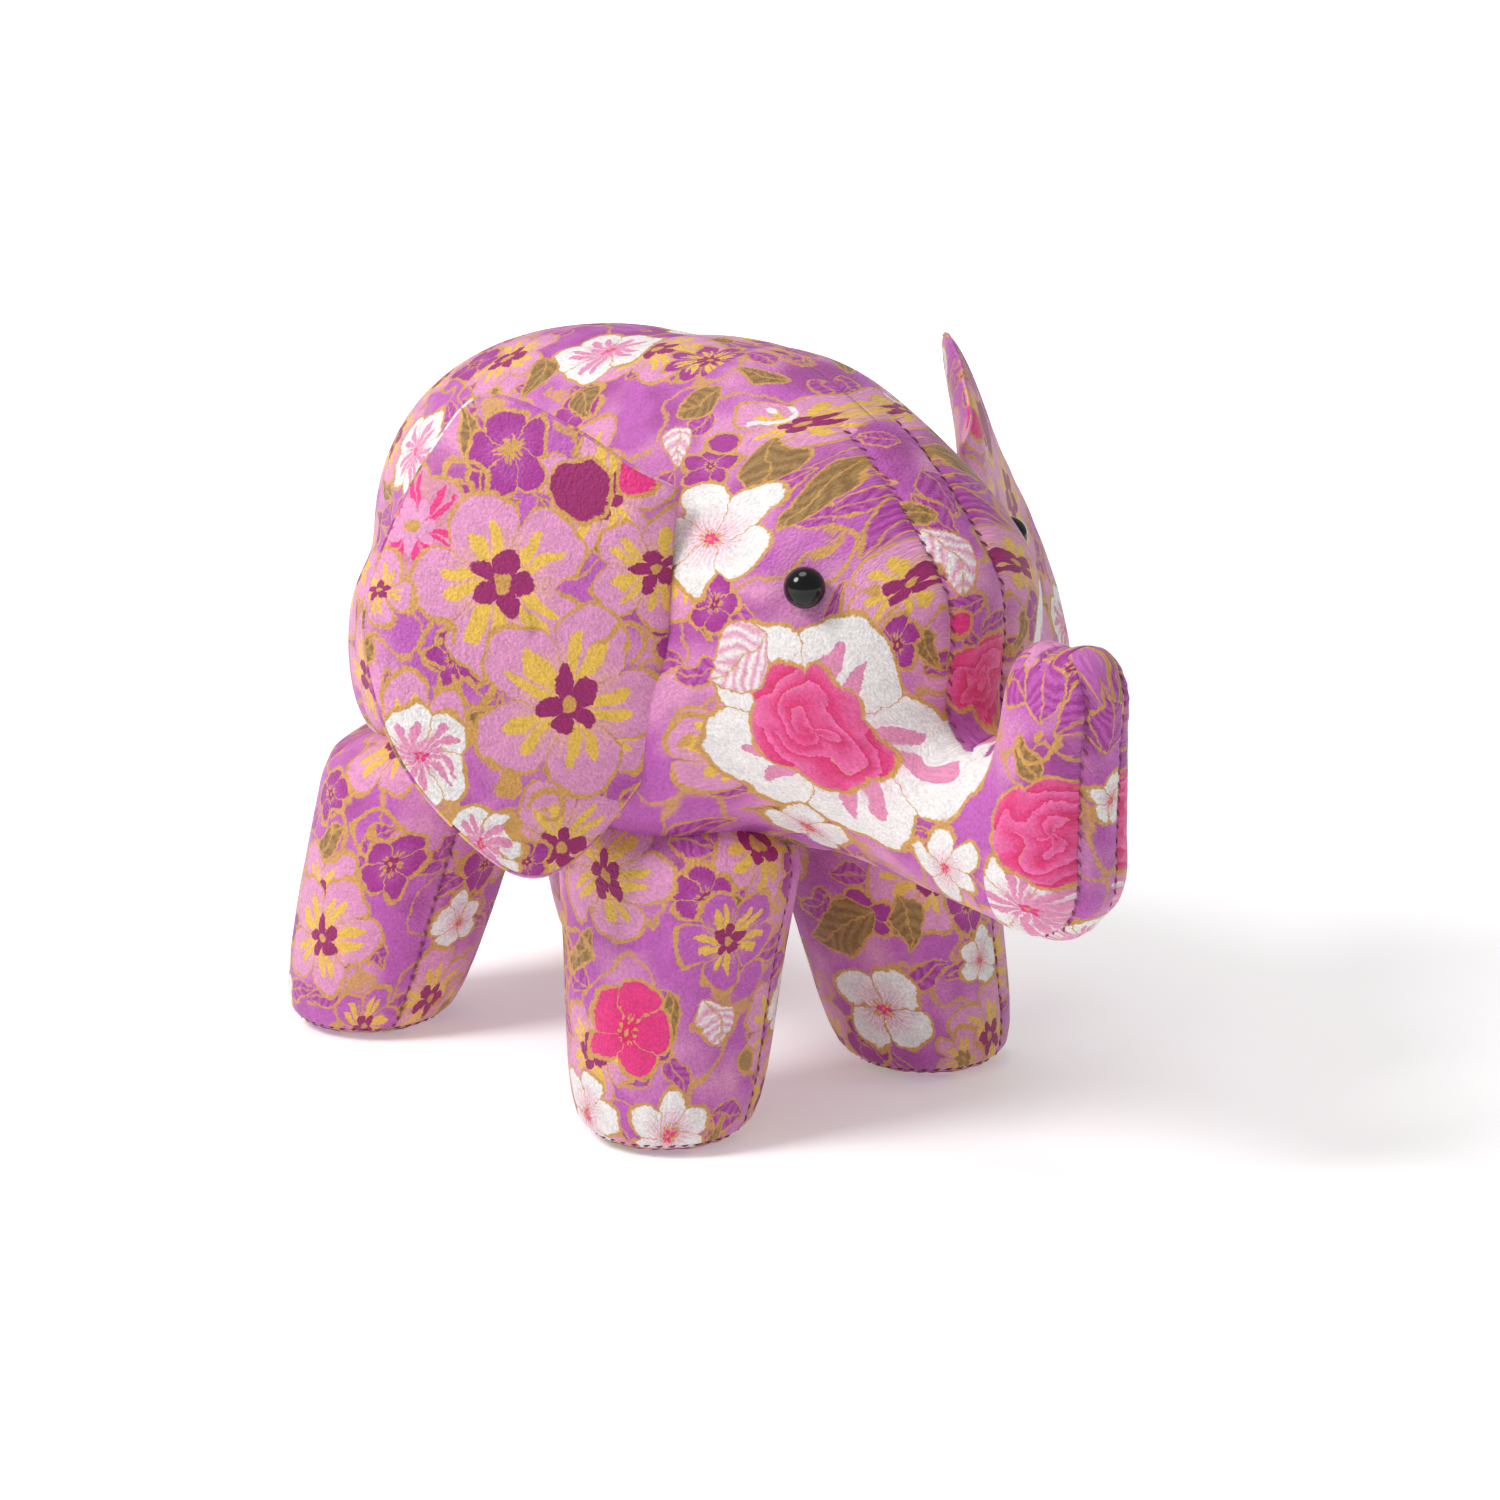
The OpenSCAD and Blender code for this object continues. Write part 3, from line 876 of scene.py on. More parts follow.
# %% Beads and their thread
EYE_STAND = {-1: 1.7, 1: -0.6}
EYE_FLAT = -0.72 * EYE_R


def bead(side):
    bm = bmesh.new()
    bmesh.ops.create_uvsphere(bm, u_segments=64, v_segments=40, radius=EYE_R)
    for v in bm.verts:
        if v.co.z < EYE_FLAT:
            v.co.z = EYE_FLAT - (v.co.z - EYE_FLAT) * 0.05
    seat, normal = eye_at[side]
    turn = normal.to_track_quat("Z", "Y").to_matrix().to_4x4()
    place = Matrix.Translation(seat + normal * EYE_STAND[side])
    bmesh.ops.transform(bm, verts=bm.verts, matrix=place @ turn)
    return new_object("bead", bm)


for side, side_name in ((-1, "right"), (1, "left")):
    piece = finish_piece(bead(side), f"eye_{side_name}_bead", "body", [f"eye_{side_name}"])


def cord(start, end, radius, strands=2, twist=1.1):
    """A twisted thread: its section is a ring of lobes that turns along the way."""
    bm = bmesh.new()
    start, end = Vector(start), Vector(end)
    length = (end - start).length
    steps, n = max(6, int(length / 0.8)), 16
    frame_turn = (end - start).to_track_quat("Z", "Y").to_matrix()
    rows = []
    for s in range(steps + 1):
        row = []
        for k in range(n):
            a = 2 * math.pi * k / n
            r = radius * (0.85 + 0.15 * math.cos(strands * (a + s * 0.8 * twist)))
            row.append(bm.verts.new(start + frame_turn @ Vector(
                (r * math.cos(a), r * math.sin(a), length * s / steps))))
        rows.append(row)
    for a, b in zip(rows, rows[1:]):
        for k in range(n):
            bm.faces.new((a[k], a[(k + 1) % n], b[(k + 1) % n], b[k]))
    bm.faces.new(rows[0][::-1])
    bm.faces.new(rows[-1])
    bmesh.ops.recalc_face_normals(bm, faces=bm.faces)
    return bm


thread = new_object("thread", cord(eye_at[-1][0], eye_at[1][0], 0.6))
piece = finish_piece(thread, "eye_thread_strand", "body", ["eye_thread"])

# %% [markdown]
# ## Tail
# The tail hangs straight down the rump: a tapered tube of cloth, gathered at its end, over a cord.

# %% Tail cover and cord
def tail_form(inset):
    bm = bmesh.new()
    profile = [(0, 3.3), (1.9, 2.8), (3.1, 1.2), (3.45, -1.5), (3.4, -12), (3.2, -26), (3.0, -38),
               (3.1, -43), (2.6, -45.6), (1.3, -47), (0, -47.3)]
    rows = [bm.verts.new((max(r - inset, 0), 0, h - math.copysign(inset, h) if r == 0 else h))
            for r, h in profile]
    edges = [bm.edges.new(pair) for pair in zip(rows, rows[1:])]
    bmesh.ops.subdivide_edges(bm, edges=edges[3:7], cuts=5)
    bmesh.ops.spin(
        bm, geom=bm.verts[:] + bm.edges[:], cent=(0, 0, 0), axis=(0, 0, 1),
        angle=2 * math.pi, steps=32, use_merge=True,
    )
    bmesh.ops.remove_doubles(bm, verts=bm.verts, dist=0.005)
    bmesh.ops.recalc_face_normals(bm, faces=bm.faces)
    for v in bm.verts:
        wave = 0.16 * noise.noise(Vector((v.co.x / 2, v.co.y / 2, v.co.z / 5)))
        v.co += Vector((v.co.x, v.co.y, 0)).normalized() * wave
    bmesh.ops.translate(bm, verts=bm.verts, vec=TAIL_ROOT)
    return new_object("tail", bm)


tail = tail_form(0)
lay_cloth(tail, belly_cloth)
piece = finish_piece(tail, "tail_cloth", "tail", ["tail_cover"], CLOTH_T)
cloth_pieces["tail_cloth"] = piece
fillings.append(finish_piece(tail_form(0.9), "tail_core", "tail", ["tail_cord"]))

# %% [markdown]
# ## Stitches
# The seams are sewn from the right side with small slanting stitches. Each stitch is a short bit of
# thread that lies across the seam and sinks into the cloth at both ends.

# %% Sewing along the seams
STITCH_R = 0.2


def stitch(bm, start, end, lift):
    """One stitch: a bent bit of thread, thin at both ends."""
    start, end = Vector(start), Vector(end)
    along = (end - start).normalized()
    side = along.cross(lift).normalized()
    up = side.cross(along)
    rows = []
    for s in range(7):
        f = s / 6
        swell = math.sin(math.pi * (0.12 + 0.76 * f))
        middle = start.lerp(end, f) + up * (0.3 * math.sin(math.pi * f) - 0.12)
        rows.append([
            bm.verts.new(middle + (side * math.cos(a) + up * math.sin(a)) * STITCH_R * swell)
            for a in (math.pi * k / 3 for k in range(6))
        ])
    for a, b in zip(rows, rows[1:]):
        for k in range(6):
            bm.faces.new((a[k], b[k], b[(k + 1) % 6], a[(k + 1) % 6]))
    bm.faces.new(rows[0])
    bm.faces.new(rows[-1][::-1])


def sew(lines, name, tree, pitch=2.6, slant=0.5, length=1.7):
    """Stitches along seam lines that lie on the surface of a tree."""
    bm = bmesh.new()
    made = 0
    for line in lines:
        run = spaced(line, pitch)
        for a, b in zip(run, run[1:]):
            spot, normal = tree.find_nearest((a + b) / 2)[:2]
            if spot is None:
                continue
            along = (b - a).normalized()
            across = normal.cross(along).normalized()
            reach = along * length / 2 + across * slant
            stitch(bm, spot - reach, spot + reach, normal)
            made += 1
    bmesh.ops.recalc_face_normals(bm, faces=bm.faces)
    print(name, made, "stitches")
    return new_object(name, bm)


stitch_pieces = []
for key, name in (("forehead", "forehead_stitches"), ("under", "trunk_stitches")):
    sewn = sew([body_seams[key, -1], body_seams[key, 1]], name, body_tree)
    piece = finish_piece(sewn, name, None, [])
    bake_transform(piece)
    stitch_pieces.append(piece)
for end, side in LEGS:
    lines = [[Vector(p) for p in leaned(np.array(line, float), end, side)]
             for line in leg_seams()]
    sewn = sew(lines, f"{end}_{side}_leg_stitches", leg_trees[end, side], slant=0.35)
    stitch_pieces.append(finish_piece(sewn, f"{end}_{side}_leg_stitches", "body", []))

# %% [markdown]
# ## Printed crepe
# The print is drawn by nodes from the flat place on the cloth. A small kit writes arithmetic nodes,
# and each kind of motif is a group that paints over the colour it is given: a flower with petals,
# streaks, stamens and a gold edge, a layered rose, a leaf, a disc and a curl of vine.

# %% Node kit
def linear(r, g, b):
    """A colour given as a painter's 0 to 255 values, as the shader wants it."""
    def one(c):
        c /= 255
        return c / 12.92 if c <= 0.04045 else ((c + 0.055) / 1.055) ** 2.4
    return (one(r), one(g), one(b), 1.0)


class Kit:
    def __init__(self, tree):
        self.tree = tree

    def node(self, kind, **settings):
        made = self.tree.nodes.new(kind)
        for key, value in settings.items():
            setattr(made, key, value)
        return made

    def join(self, value, socket):
        if isinstance(value, bpy.types.NodeSocket):
            self.tree.links.new(value, socket)
        elif value is not None:
            socket.default_value = value

    def math(self, operation, a, b=None, c=None, clamp=False):
        made = self.node("ShaderNodeMath", operation=operation, use_clamp=clamp)
        for value, socket in zip((a, b, c), made.inputs):
            self.join(value, socket)
        return made.outputs[0]

    def vector(self, operation, a, b=None, scale=None):
        made = self.node("ShaderNodeVectorMath", operation=operation)
        self.join(a, made.inputs[0])
        self.join(b, made.inputs[1])
        if scale is not None:
            self.join(scale, made.inputs["Scale"])
        return made.outputs["Value" if operation in ("LENGTH", "DISTANCE") else "Vector"]

    def mix(self, share, a, b):
        made = self.node("ShaderNodeMix", data_type="RGBA", clamp_factor=True)
        self.join(share, made.inputs[0])
        self.join(a, made.inputs[6])
        self.join(b, made.inputs[7])
        return made.outputs[2]

    def noise(self, place, scale, detail=2.0, rough=0.5):
        made = self.node("ShaderNodeTexNoise", noise_dimensions="3D")
        self.join(place, made.inputs["Vector"])
        made.inputs["Scale"].default_value = scale
        made.inputs["Detail"].default_value = detail
        made.inputs["Roughness"].default_value = rough
        return made

    def soft(self, value, width):
        """1 where the value is over 0, with a narrow ramp at the edge."""
        return self.math("MULTIPLY_ADD", value, 1 / width, 0.5, clamp=True)


def group(name, inputs, outputs):
    tree = bpy.data.node_groups.new(name, "ShaderNodeTree")
    for label, kind in inputs:
        tree.interface.new_socket(label, in_out="INPUT", socket_type=kind)
    for label, kind in outputs:
        tree.interface.new_socket(label, in_out="OUTPUT", socket_type=kind)
    kit = Kit(tree)
    source = kit.node("NodeGroupInput").outputs
    target = kit.node("NodeGroupOutput").inputs
    return tree, kit, source, target


FLOAT, VECTOR, COLOUR = "NodeSocketFloat", "NodeSocketVector", "NodeSocketColor"
PAINT_IN = [("Cloth", VECTOR), ("Under", COLOUR), ("Place", VECTOR), ("Turn", FLOAT), ("Size", FLOAT)]
PAINT_OUT = [("Colour", COLOUR)]


def polar(kit, source):
    """The place from the middle of a motif, as a radius and a turned angle."""
    away = kit.vector("SUBTRACT", source["Cloth"], source["Place"])
    parts = kit.node("ShaderNodeSeparateXYZ")
    kit.join(away, parts.inputs[0])
    x, y = parts.outputs[0], parts.outputs[1]
    r = kit.math("SQRT", kit.math("ADD", kit.math("MULTIPLY", x, x), kit.math("MULTIPLY", y, y)))
    angle = kit.math("ADD", kit.math("ARCTAN2", y, x), source["Turn"])
    return r, angle


def edge_line(kit, source, inward, half_width, ramp, colour):
    """A line along the outline of a motif, over what lies under it."""
    off = kit.math("SUBTRACT", half_width, kit.math("ABSOLUTE", inward))
    return kit.mix(kit.soft(off, ramp), source["Under"], colour)


# %% Motif: flower
GOLD = linear(222, 166, 88)
EDGE_W = 0.6


def flower_group():
    tree, kit, source, target = group("flower", PAINT_IN + [
        ("Petals", FLOAT), ("Depth", FLOAT), ("Petal", COLOUR), ("Throat", COLOUR), ("Edge", COLOUR),
        ("Heart", COLOUR), ("Heart size", FLOAT), ("Stamens", COLOUR), ("Stamen reach", FLOAT),
    ], PAINT_OUT)
    m = kit.math
    r, angle = polar(kit, source)
    half = m("MULTIPLY", m("MULTIPLY", angle, source["Petals"]), 0.5)
    lobe = m("ABSOLUTE", m("COSINE", half))
    round_lobe = m("POWER", lobe, 0.55)
    size = source["Size"]
    reach = m("MULTIPLY", size, m("ADD", m("SUBTRACT", 1, source["Depth"]),
                                  m("MULTIPLY", source["Depth"], round_lobe)))
    inward = m("SUBTRACT", reach, r)
    share = m("DIVIDE", r, size)
    streak = m("SINE", m("MULTIPLY_ADD", angle, 31, m("MULTIPLY", share, 3)))
    fade = m("MULTIPLY_ADD", share, -1.9, 1.25, clamp=True)
    throat = m("MULTIPLY", fade, m("MULTIPLY_ADD", streak, 0.4, 0.62), clamp=True)
    petal = kit.mix(throat, source["Petal"], source["Throat"])
    apart = m("MULTIPLY", m("MULTIPLY", lobe, r), m("MULTIPLY", source["Petals"], 0.22))
    gap = m("SUBTRACT", 0.32, apart)
    split = m("MULTIPLY", kit.soft(gap, 0.25), m("LESS_THAN", share, 0.92))
    petal = kit.mix(split, petal, source["Edge"])
    tip = m("ABSOLUTE", m("SINE", m("MULTIPLY", half, 3)))
    stamen_r = m("MULTIPLY", source["Stamen reach"], size)
    rays = m("MULTIPLY", m("MULTIPLY_ADD", tip, 0.5, 0.5), m("MULTIPLY_ADD", lobe, 0.7, 0.35))
    ring = m("SUBTRACT", m("MULTIPLY", stamen_r, rays), r)
    stamens = m("MULTIPLY", kit.soft(ring, 0.3), kit.soft(m("SUBTRACT", tip, 0.38), 0.3))
    petal = kit.mix(stamens, petal, source["Stamens"])
    heart_lobe = m("POWER", m("ABSOLUTE", m("SINE", half)), 0.6)
    heart_size = m("MULTIPLY", source["Heart size"], size)
    heart_r = m("MULTIPLY", heart_size, m("MULTIPLY_ADD", heart_lobe, 0.62, 0.38))
    petal = kit.mix(kit.soft(m("SUBTRACT", heart_r, r), 0.25), petal, source["Heart"])
    core = m("SUBTRACT", m("MULTIPLY", heart_size, 0.26), r)
    petal = kit.mix(kit.soft(core, 0.2), petal, source["Edge"])
    edged = edge_line(kit, source, inward, EDGE_W, 0.3, source["Edge"])
    kit.join(kit.mix(kit.soft(m("SUBTRACT", inward, EDGE_W * 0.6), 0.3), edged, petal), target["Colour"])
    return tree


# %% Motif: rose
def rose_group():
    tree, kit, source, target = group("rose", PAINT_IN + [("Light", COLOUR), ("Dark", COLOUR)], PAINT_OUT)
    m = kit.math
    r, angle = polar(kit, source)
    size = source["Size"]
    share = m("DIVIDE", r, size)
    wander = kit.noise(source["Cloth"], 0.16, 1.0).outputs[0]
    wave = m("MULTIPLY", m("SINE", m("MULTIPLY_ADD", angle, 2.5, m("MULTIPLY", share, 5))), 0.16)
    layer = m("ADD", m("MULTIPLY", share, 2.7), m("ADD", m("MULTIPLY", wave, 3.2), wander))
    fold = m("FRACT", layer)
    shade = m("MULTIPLY", m("POWER", fold, 1.2), m("MULTIPLY_ADD", wander, 1.1, 0.35))
    petal = kit.mix(m("ADD", shade, 0.08, clamp=True), source["Dark"], source["Light"])
    turned = m("GREATER_THAN", m("SINE", m("MULTIPLY_ADD", angle, 2, share)), 0.55)
    line = m("MULTIPLY", kit.soft(m("SUBTRACT", fold, 0.95), 0.03), turned)
    petal = kit.mix(m("MULTIPLY", line, 0.7), petal, GOLD)
    lobes = m("ABSOLUTE", m("COSINE", m("MULTIPLY", angle, 2.5)))
    reach = m("MULTIPLY", size, m("MULTIPLY_ADD", m("POWER", lobes, 0.7), 0.2, 0.8))
    inward = m("SUBTRACT", reach, r)
    edged = edge_line(kit, source, inward, 0.5, 0.3, GOLD)
    kit.join(kit.mix(kit.soft(m("SUBTRACT", inward, 0.25), 0.3), edged, petal), target["Colour"])
    return tree


# %% Motif: leaf
def leaf_group():
    tree, kit, source, target = group("leaf", PAINT_IN + [
        ("Width", FLOAT), ("Fill", COLOUR), ("Dark", COLOUR), ("Edge", COLOUR),
    ], PAINT_OUT)
    m = kit.math
    r, angle = polar(kit, source)
    size = source["Size"]
    x = m("DIVIDE", m("MULTIPLY", r, m("COSINE", angle)), size)
    y = m("MULTIPLY", r, m("SINE", angle))
    bow = m("MULTIPLY", m("MULTIPLY", m("MULTIPLY", x, x), source["Width"]), 0.3)
    y = m("ADD", y, bow)
    body = m("SUBTRACT", 1, m("MULTIPLY", x, x), clamp=True)
    half = m("MULTIPLY", source["Width"], m("MULTIPLY", body, m("MULTIPLY_ADD", x, -0.35, 1)))
    inward = m("SUBTRACT", half, m("ABSOLUTE", y))
    rib = m("SINE", m("ADD", m("MULTIPLY", x, 16), m("MULTIPLY", m("ABSOLUTE", y), -2.2)))
    fill = kit.mix(m("MULTIPLY_ADD", rib, 0.4, 0.45, clamp=True), source["Fill"], source["Dark"])
    vein = m("SUBTRACT", 0.22, m("ABSOLUTE", y))
    fill = kit.mix(m("MULTIPLY", kit.soft(vein, 0.25), 0.8), fill, source["Edge"])
    edged = edge_line(kit, source, inward, 0.34, 0.25, source["Edge"])
    on = m("LESS_THAN", m("ABSOLUTE", x), 1)
    edged = kit.mix(on, source["Under"], edged)
    share = m("MULTIPLY", kit.soft(m("SUBTRACT", inward, 0.2), 0.3), on)
    kit.join(kit.mix(share, edged, fill), target["Colour"])
    return tree


# %% Motifs: disc and curl
def disc_group():
    tree, kit, source, target = group("disc", PAINT_IN + [
        ("Fill", COLOUR), ("Edge", COLOUR),
    ], PAINT_OUT)
    m = kit.math
    r, _ = polar(kit, source)
    inward = m("SUBTRACT", source["Size"], r)
    edged = edge_line(kit, source, inward, 0.5, 0.3, source["Edge"])
    kit.join(kit.mix(kit.soft(m("SUBTRACT", inward, 0.3), 0.3), edged, source["Fill"]), target["Colour"])
    return tree


def curl_group():
    """A gold line that winds inwards, from the given size to its middle."""
    tree, kit, source, target = group("curl", PAINT_IN + [("Span", FLOAT), ("Edge", COLOUR)], PAINT_OUT)
    m = kit.math
    r, angle = polar(kit, source)
    around = m("DIVIDE", m("WRAP", angle, 2 * math.pi, 0.0), 2 * math.pi)
    path = m("MULTIPLY", source["Size"], m("MULTIPLY_ADD", around, -0.4, 1))
    line = m("SUBTRACT", 0.5, m("ABSOLUTE", m("SUBTRACT", r, path)))
    share = m("MULTIPLY", kit.soft(line, 0.3), m("LESS_THAN", around, source["Span"]))
    bud = m("SUBTRACT", m("MULTIPLY", source["Size"], 0.2), r)
    share = m("MAXIMUM", share, kit.soft(bud, 0.3))
    kit.join(kit.mix(share, source["Under"], source["Edge"]), target["Colour"])
    return tree


MOTIFS = {
    "flower": flower_group(), "rose": rose_group(), "leaf": leaf_group(), "disc": disc_group(),
    "curl": curl_group(),
}
print("motifs:", {name: len(tree.nodes) for name, tree in MOTIFS.items()})

# %% [markdown]
# The cloth's colours, and the looks that the motifs come in.

# %% Colours and looks
ORCHID = linear(204, 98, 192)
ORCHID_DEEP = linear(178, 72, 158)
MAUVE = linear(238, 158, 204)
PINK = linear(226, 150, 178)
PLUM = linear(164, 26, 108)
PURPLE = linear(176, 48, 152)
MAGENTA = linear(246, 52, 138)
ROSE_LIGHT = linear(255, 118, 184)
ROSE_DARK = linear(236, 14, 110)
WHITE = linear(255, 250, 248)
BLUSH = linear(240, 150, 190)
YELLOW = linear(248, 200, 84)
OLIVE = linear(176, 136, 78)
OLIVE_DARK = linear(140, 100, 52)

BLOSSOM = dict(kind="flower", Petals=5, Depth=0.5, Petal=MAUVE, Throat=YELLOW, Edge=GOLD, Heart=PLUM,
               **{"Heart size": 0.34, "Stamens": YELLOW, "Stamen reach": 0.72})
VIOLET = dict(kind="flower", Petals=5, Depth=0.34, Petal=PURPLE, Throat=ORCHID, Edge=GOLD, Heart=PLUM,
              **{"Heart size": 0.22, "Stamens": GOLD, "Stamen reach": 0.36})
DOGWOOD = dict(kind="flower", Petals=5, Depth=0.42, Petal=WHITE, Throat=BLUSH, Edge=GOLD, Heart=MAGENTA,
               **{"Heart size": 0.13, "Stamens": GOLD, "Stamen reach": 0.22})
WIDE_WHITE = dict(kind="flower", Petals=5, Depth=0.26, Petal=WHITE, Throat=BLUSH, Edge=GOLD, Heart=MAGENTA,
                  **{"Heart size": 0.1, "Stamens": BLUSH, "Stamen reach": 0.78})
PINK_FLOWER = dict(kind="flower", Petals=5, Depth=0.26, Petal=MAGENTA, Throat=ROSE_DARK, Edge=GOLD,
                   Heart=ROSE_DARK, **{"Heart size": 0.24, "Stamens": GOLD, "Stamen reach": 0.3})
PEONY = dict(kind="flower", Petals=7, Depth=0.18, Petal=PINK, Throat=MAGENTA, Edge=GOLD, Heart=MAUVE,
             **{"Heart size": 0.5, "Stamens": MAGENTA, "Stamen reach": 0.9})
ROSE = dict(kind="rose", Light=ROSE_LIGHT, Dark=ROSE_DARK)
LEAF = dict(kind="leaf", Width=3.2, Fill=OLIVE, Dark=OLIVE_DARK, Edge=GOLD)
PURPLE_LEAF = dict(kind="leaf", Width=4.2, Fill=PURPLE, Dark=ORCHID, Edge=GOLD)
PALE_LEAF = dict(kind="leaf", Width=4.0, Fill=WHITE, Dark=BLUSH, Edge=GOLD)
DISC = dict(kind="disc", Fill=PURPLE, Edge=GOLD)
DOT = dict(kind="disc", Fill=MAGENTA, Edge=GOLD)
CURL = dict(kind="curl", Span=0.8, Edge=GOLD)


def paint(kit, cloth, under, look, place, size, turn=0.0):
    """Adds one motif over the colour so far."""
    made = kit.node("ShaderNodeGroup")
    made.node_tree = MOTIFS[look["kind"]]
    kit.join(cloth, made.inputs["Cloth"])
    kit.join(under, made.inputs["Under"])
    kit.join((*place, 0) if isinstance(place, tuple) else place, made.inputs["Place"])
    kit.join(math.radians(turn) if isinstance(turn, (int, float)) else turn, made.inputs["Turn"])
    kit.join(size, made.inputs["Size"])
    for key, value in look.items():
        if key != "kind":
            kit.join(value, made.inputs[key])
    return made.outputs["Colour"]


def scatter(kit, cloth, under, look, cell, size, shift, uneven=0.7):
    """Fills the cloth with a motif: one in each cell, turned and sized at random."""
    moved = kit.vector("ADD", cloth, (shift, shift * 1.7, 0))
    cells = kit.node("ShaderNodeTexVoronoi", voronoi_dimensions="2D", feature="F1")
    kit.join(moved, cells.inputs["Vector"])
    cells.inputs["Scale"].default_value = 1 / cell
    cells.inputs["Randomness"].default_value = uneven
    chance = kit.node("ShaderNodeSeparateColor")
    kit.join(cells.outputs["Color"], chance.inputs[0])
    turn = kit.math("MULTIPLY", chance.outputs[0], 2 * math.pi)
    grown = kit.math("MULTIPLY", kit.math("MULTIPLY_ADD", chance.outputs[1], 0.35, 0.75), size)
    return paint(kit, moved, under, look, cells.outputs["Position"], grown, turn)


def vines(kit, cloth, under, scale, width, shift):
    """Thin gold lines that meander over the ground."""
    moved = kit.vector("ADD", cloth, (shift, -shift, shift))
    level = kit.noise(moved, scale, 1.0).outputs[0]
    line = kit.math("SUBTRACT", width, kit.math("ABSOLUTE", kit.math("SUBTRACT", level, 0.5)))
    return kit.mix(kit.math("MULTIPLY", kit.soft(line, width), 0.9), under, GOLD)


# %% [markdown]
# The ground of the print is the same on every panel: orchid with mauve patches, meandering gold
# lines, small leaves and two sizes of blossom. Then come the motifs that belong to a panel.

# %% Cloth material
def cloth_material(name, motifs, shift=0.0, blossoms=True):
    material = bpy.data.materials.new(name)
    material.use_nodes = True
    tree = material.node_tree
    kit = Kit(tree)
    shader = tree.nodes["Principled BSDF"]
    flat = kit.node("ShaderNodeAttribute", attribute_name="flat").outputs["Vector"]
    ragged = kit.noise(flat, 0.9, 2.0, 0.6).outputs["Color"]
    ragged = kit.vector("SUBTRACT", ragged, (0.5, 0.5, 0.5))
    sway = kit.vector("SUBTRACT", kit.noise(flat, 0.12, 1.0).outputs["Color"], (0.5, 0.5, 0.5))
    cloth = kit.vector("ADD", flat, kit.vector("SCALE", ragged, scale=1.4))
    cloth = kit.vector("ADD", cloth, kit.vector("SCALE", sway, scale=6))
    patch = kit.noise(flat, 0.05, 2.0).outputs[0]
    colour = kit.mix(kit.math("MULTIPLY_ADD", patch, 5, -2.2, clamp=True), ORCHID, MAUVE)
    deep = kit.noise(kit.vector("ADD", flat, (40, 7, 3)), 0.07, 1.0).outputs[0]
    colour = kit.mix(kit.math("MULTIPLY_ADD", deep, 6, -3.2, clamp=True), colour, ORCHID_DEEP)
    colour = vines(kit, cloth, colour, 0.055, 0.012, shift + 5)
    colour = scatter(kit, cloth, colour, PURPLE_LEAF | {"Width": 2.4}, 15, 5.5, shift + 3, 0.9)
    colour = scatter(kit, cloth, colour, LEAF | {"Width": 2.2}, 24, 6.5, shift + 11, 0.9)
    if blossoms:
        colour = scatter(kit, cloth, colour, BLOSSOM, 36, 14, shift + 20, 0.6)
        colour = scatter(kit, cloth, colour, VIOLET, 31, 7, shift + 31, 0.8)
    for look, place, size, turn in motifs:
        colour = paint(kit, cloth, colour, look, place, size, turn)
    # Tone multiplied into the base colour: a broad mottle of uneven crepe tone, and a fine speckle that is
    # partly the crepe's own grain and partly painted highlight and painted shade of its pebbled surface.
    mottle = kit.noise(flat, 0.35, 3.0).outputs[0]
    grain_and_painted_glints = kit.noise(flat, 1.5, 3.0, 0.75).outputs[0]
    light = kit.math("ADD", kit.math("MULTIPLY_ADD", mottle, 0.3, 0.5),
                     kit.math("MULTIPLY_ADD", grain_and_painted_glints, 0.85, -0.33))
    tone = kit.node("ShaderNodeMix", data_type="RGBA", blend_type="MULTIPLY")
    tone.inputs[0].default_value = 1
    kit.join(colour, tone.inputs[6])
    kit.join(light, tone.inputs[7])
    kit.join(tone.outputs[2], shader.inputs["Base Color"])
    shader.inputs["Roughness"].default_value = 0.55
    shader.inputs["Specular IOR Level"].default_value = 0.4
    shader.inputs["Sheen Weight"].default_value = 0.12
    shader.inputs["Sheen Roughness"].default_value = 0.4
    pebble = kit.node("ShaderNodeTexVoronoi", voronoi_dimensions="2D", feature="SMOOTH_F1")
    kit.join(flat, pebble.inputs["Vector"])
    pebble.inputs["Scale"].default_value = 1.9
    weave = kit.noise(flat, 1.1, 4.0, 0.65).outputs[0]
    height = kit.math("ADD", kit.math("MULTIPLY", pebble.outputs["Distance"], -0.35), weave)
    bump = kit.node("ShaderNodeBump")
    bump.inputs["Strength"].default_value = 0.8
    bump.inputs["Distance"].default_value = 0.45 * MM
    kit.join(height, bump.inputs["Height"])
    kit.join(bump.outputs[0], shader.inputs["Normal"])
    return material
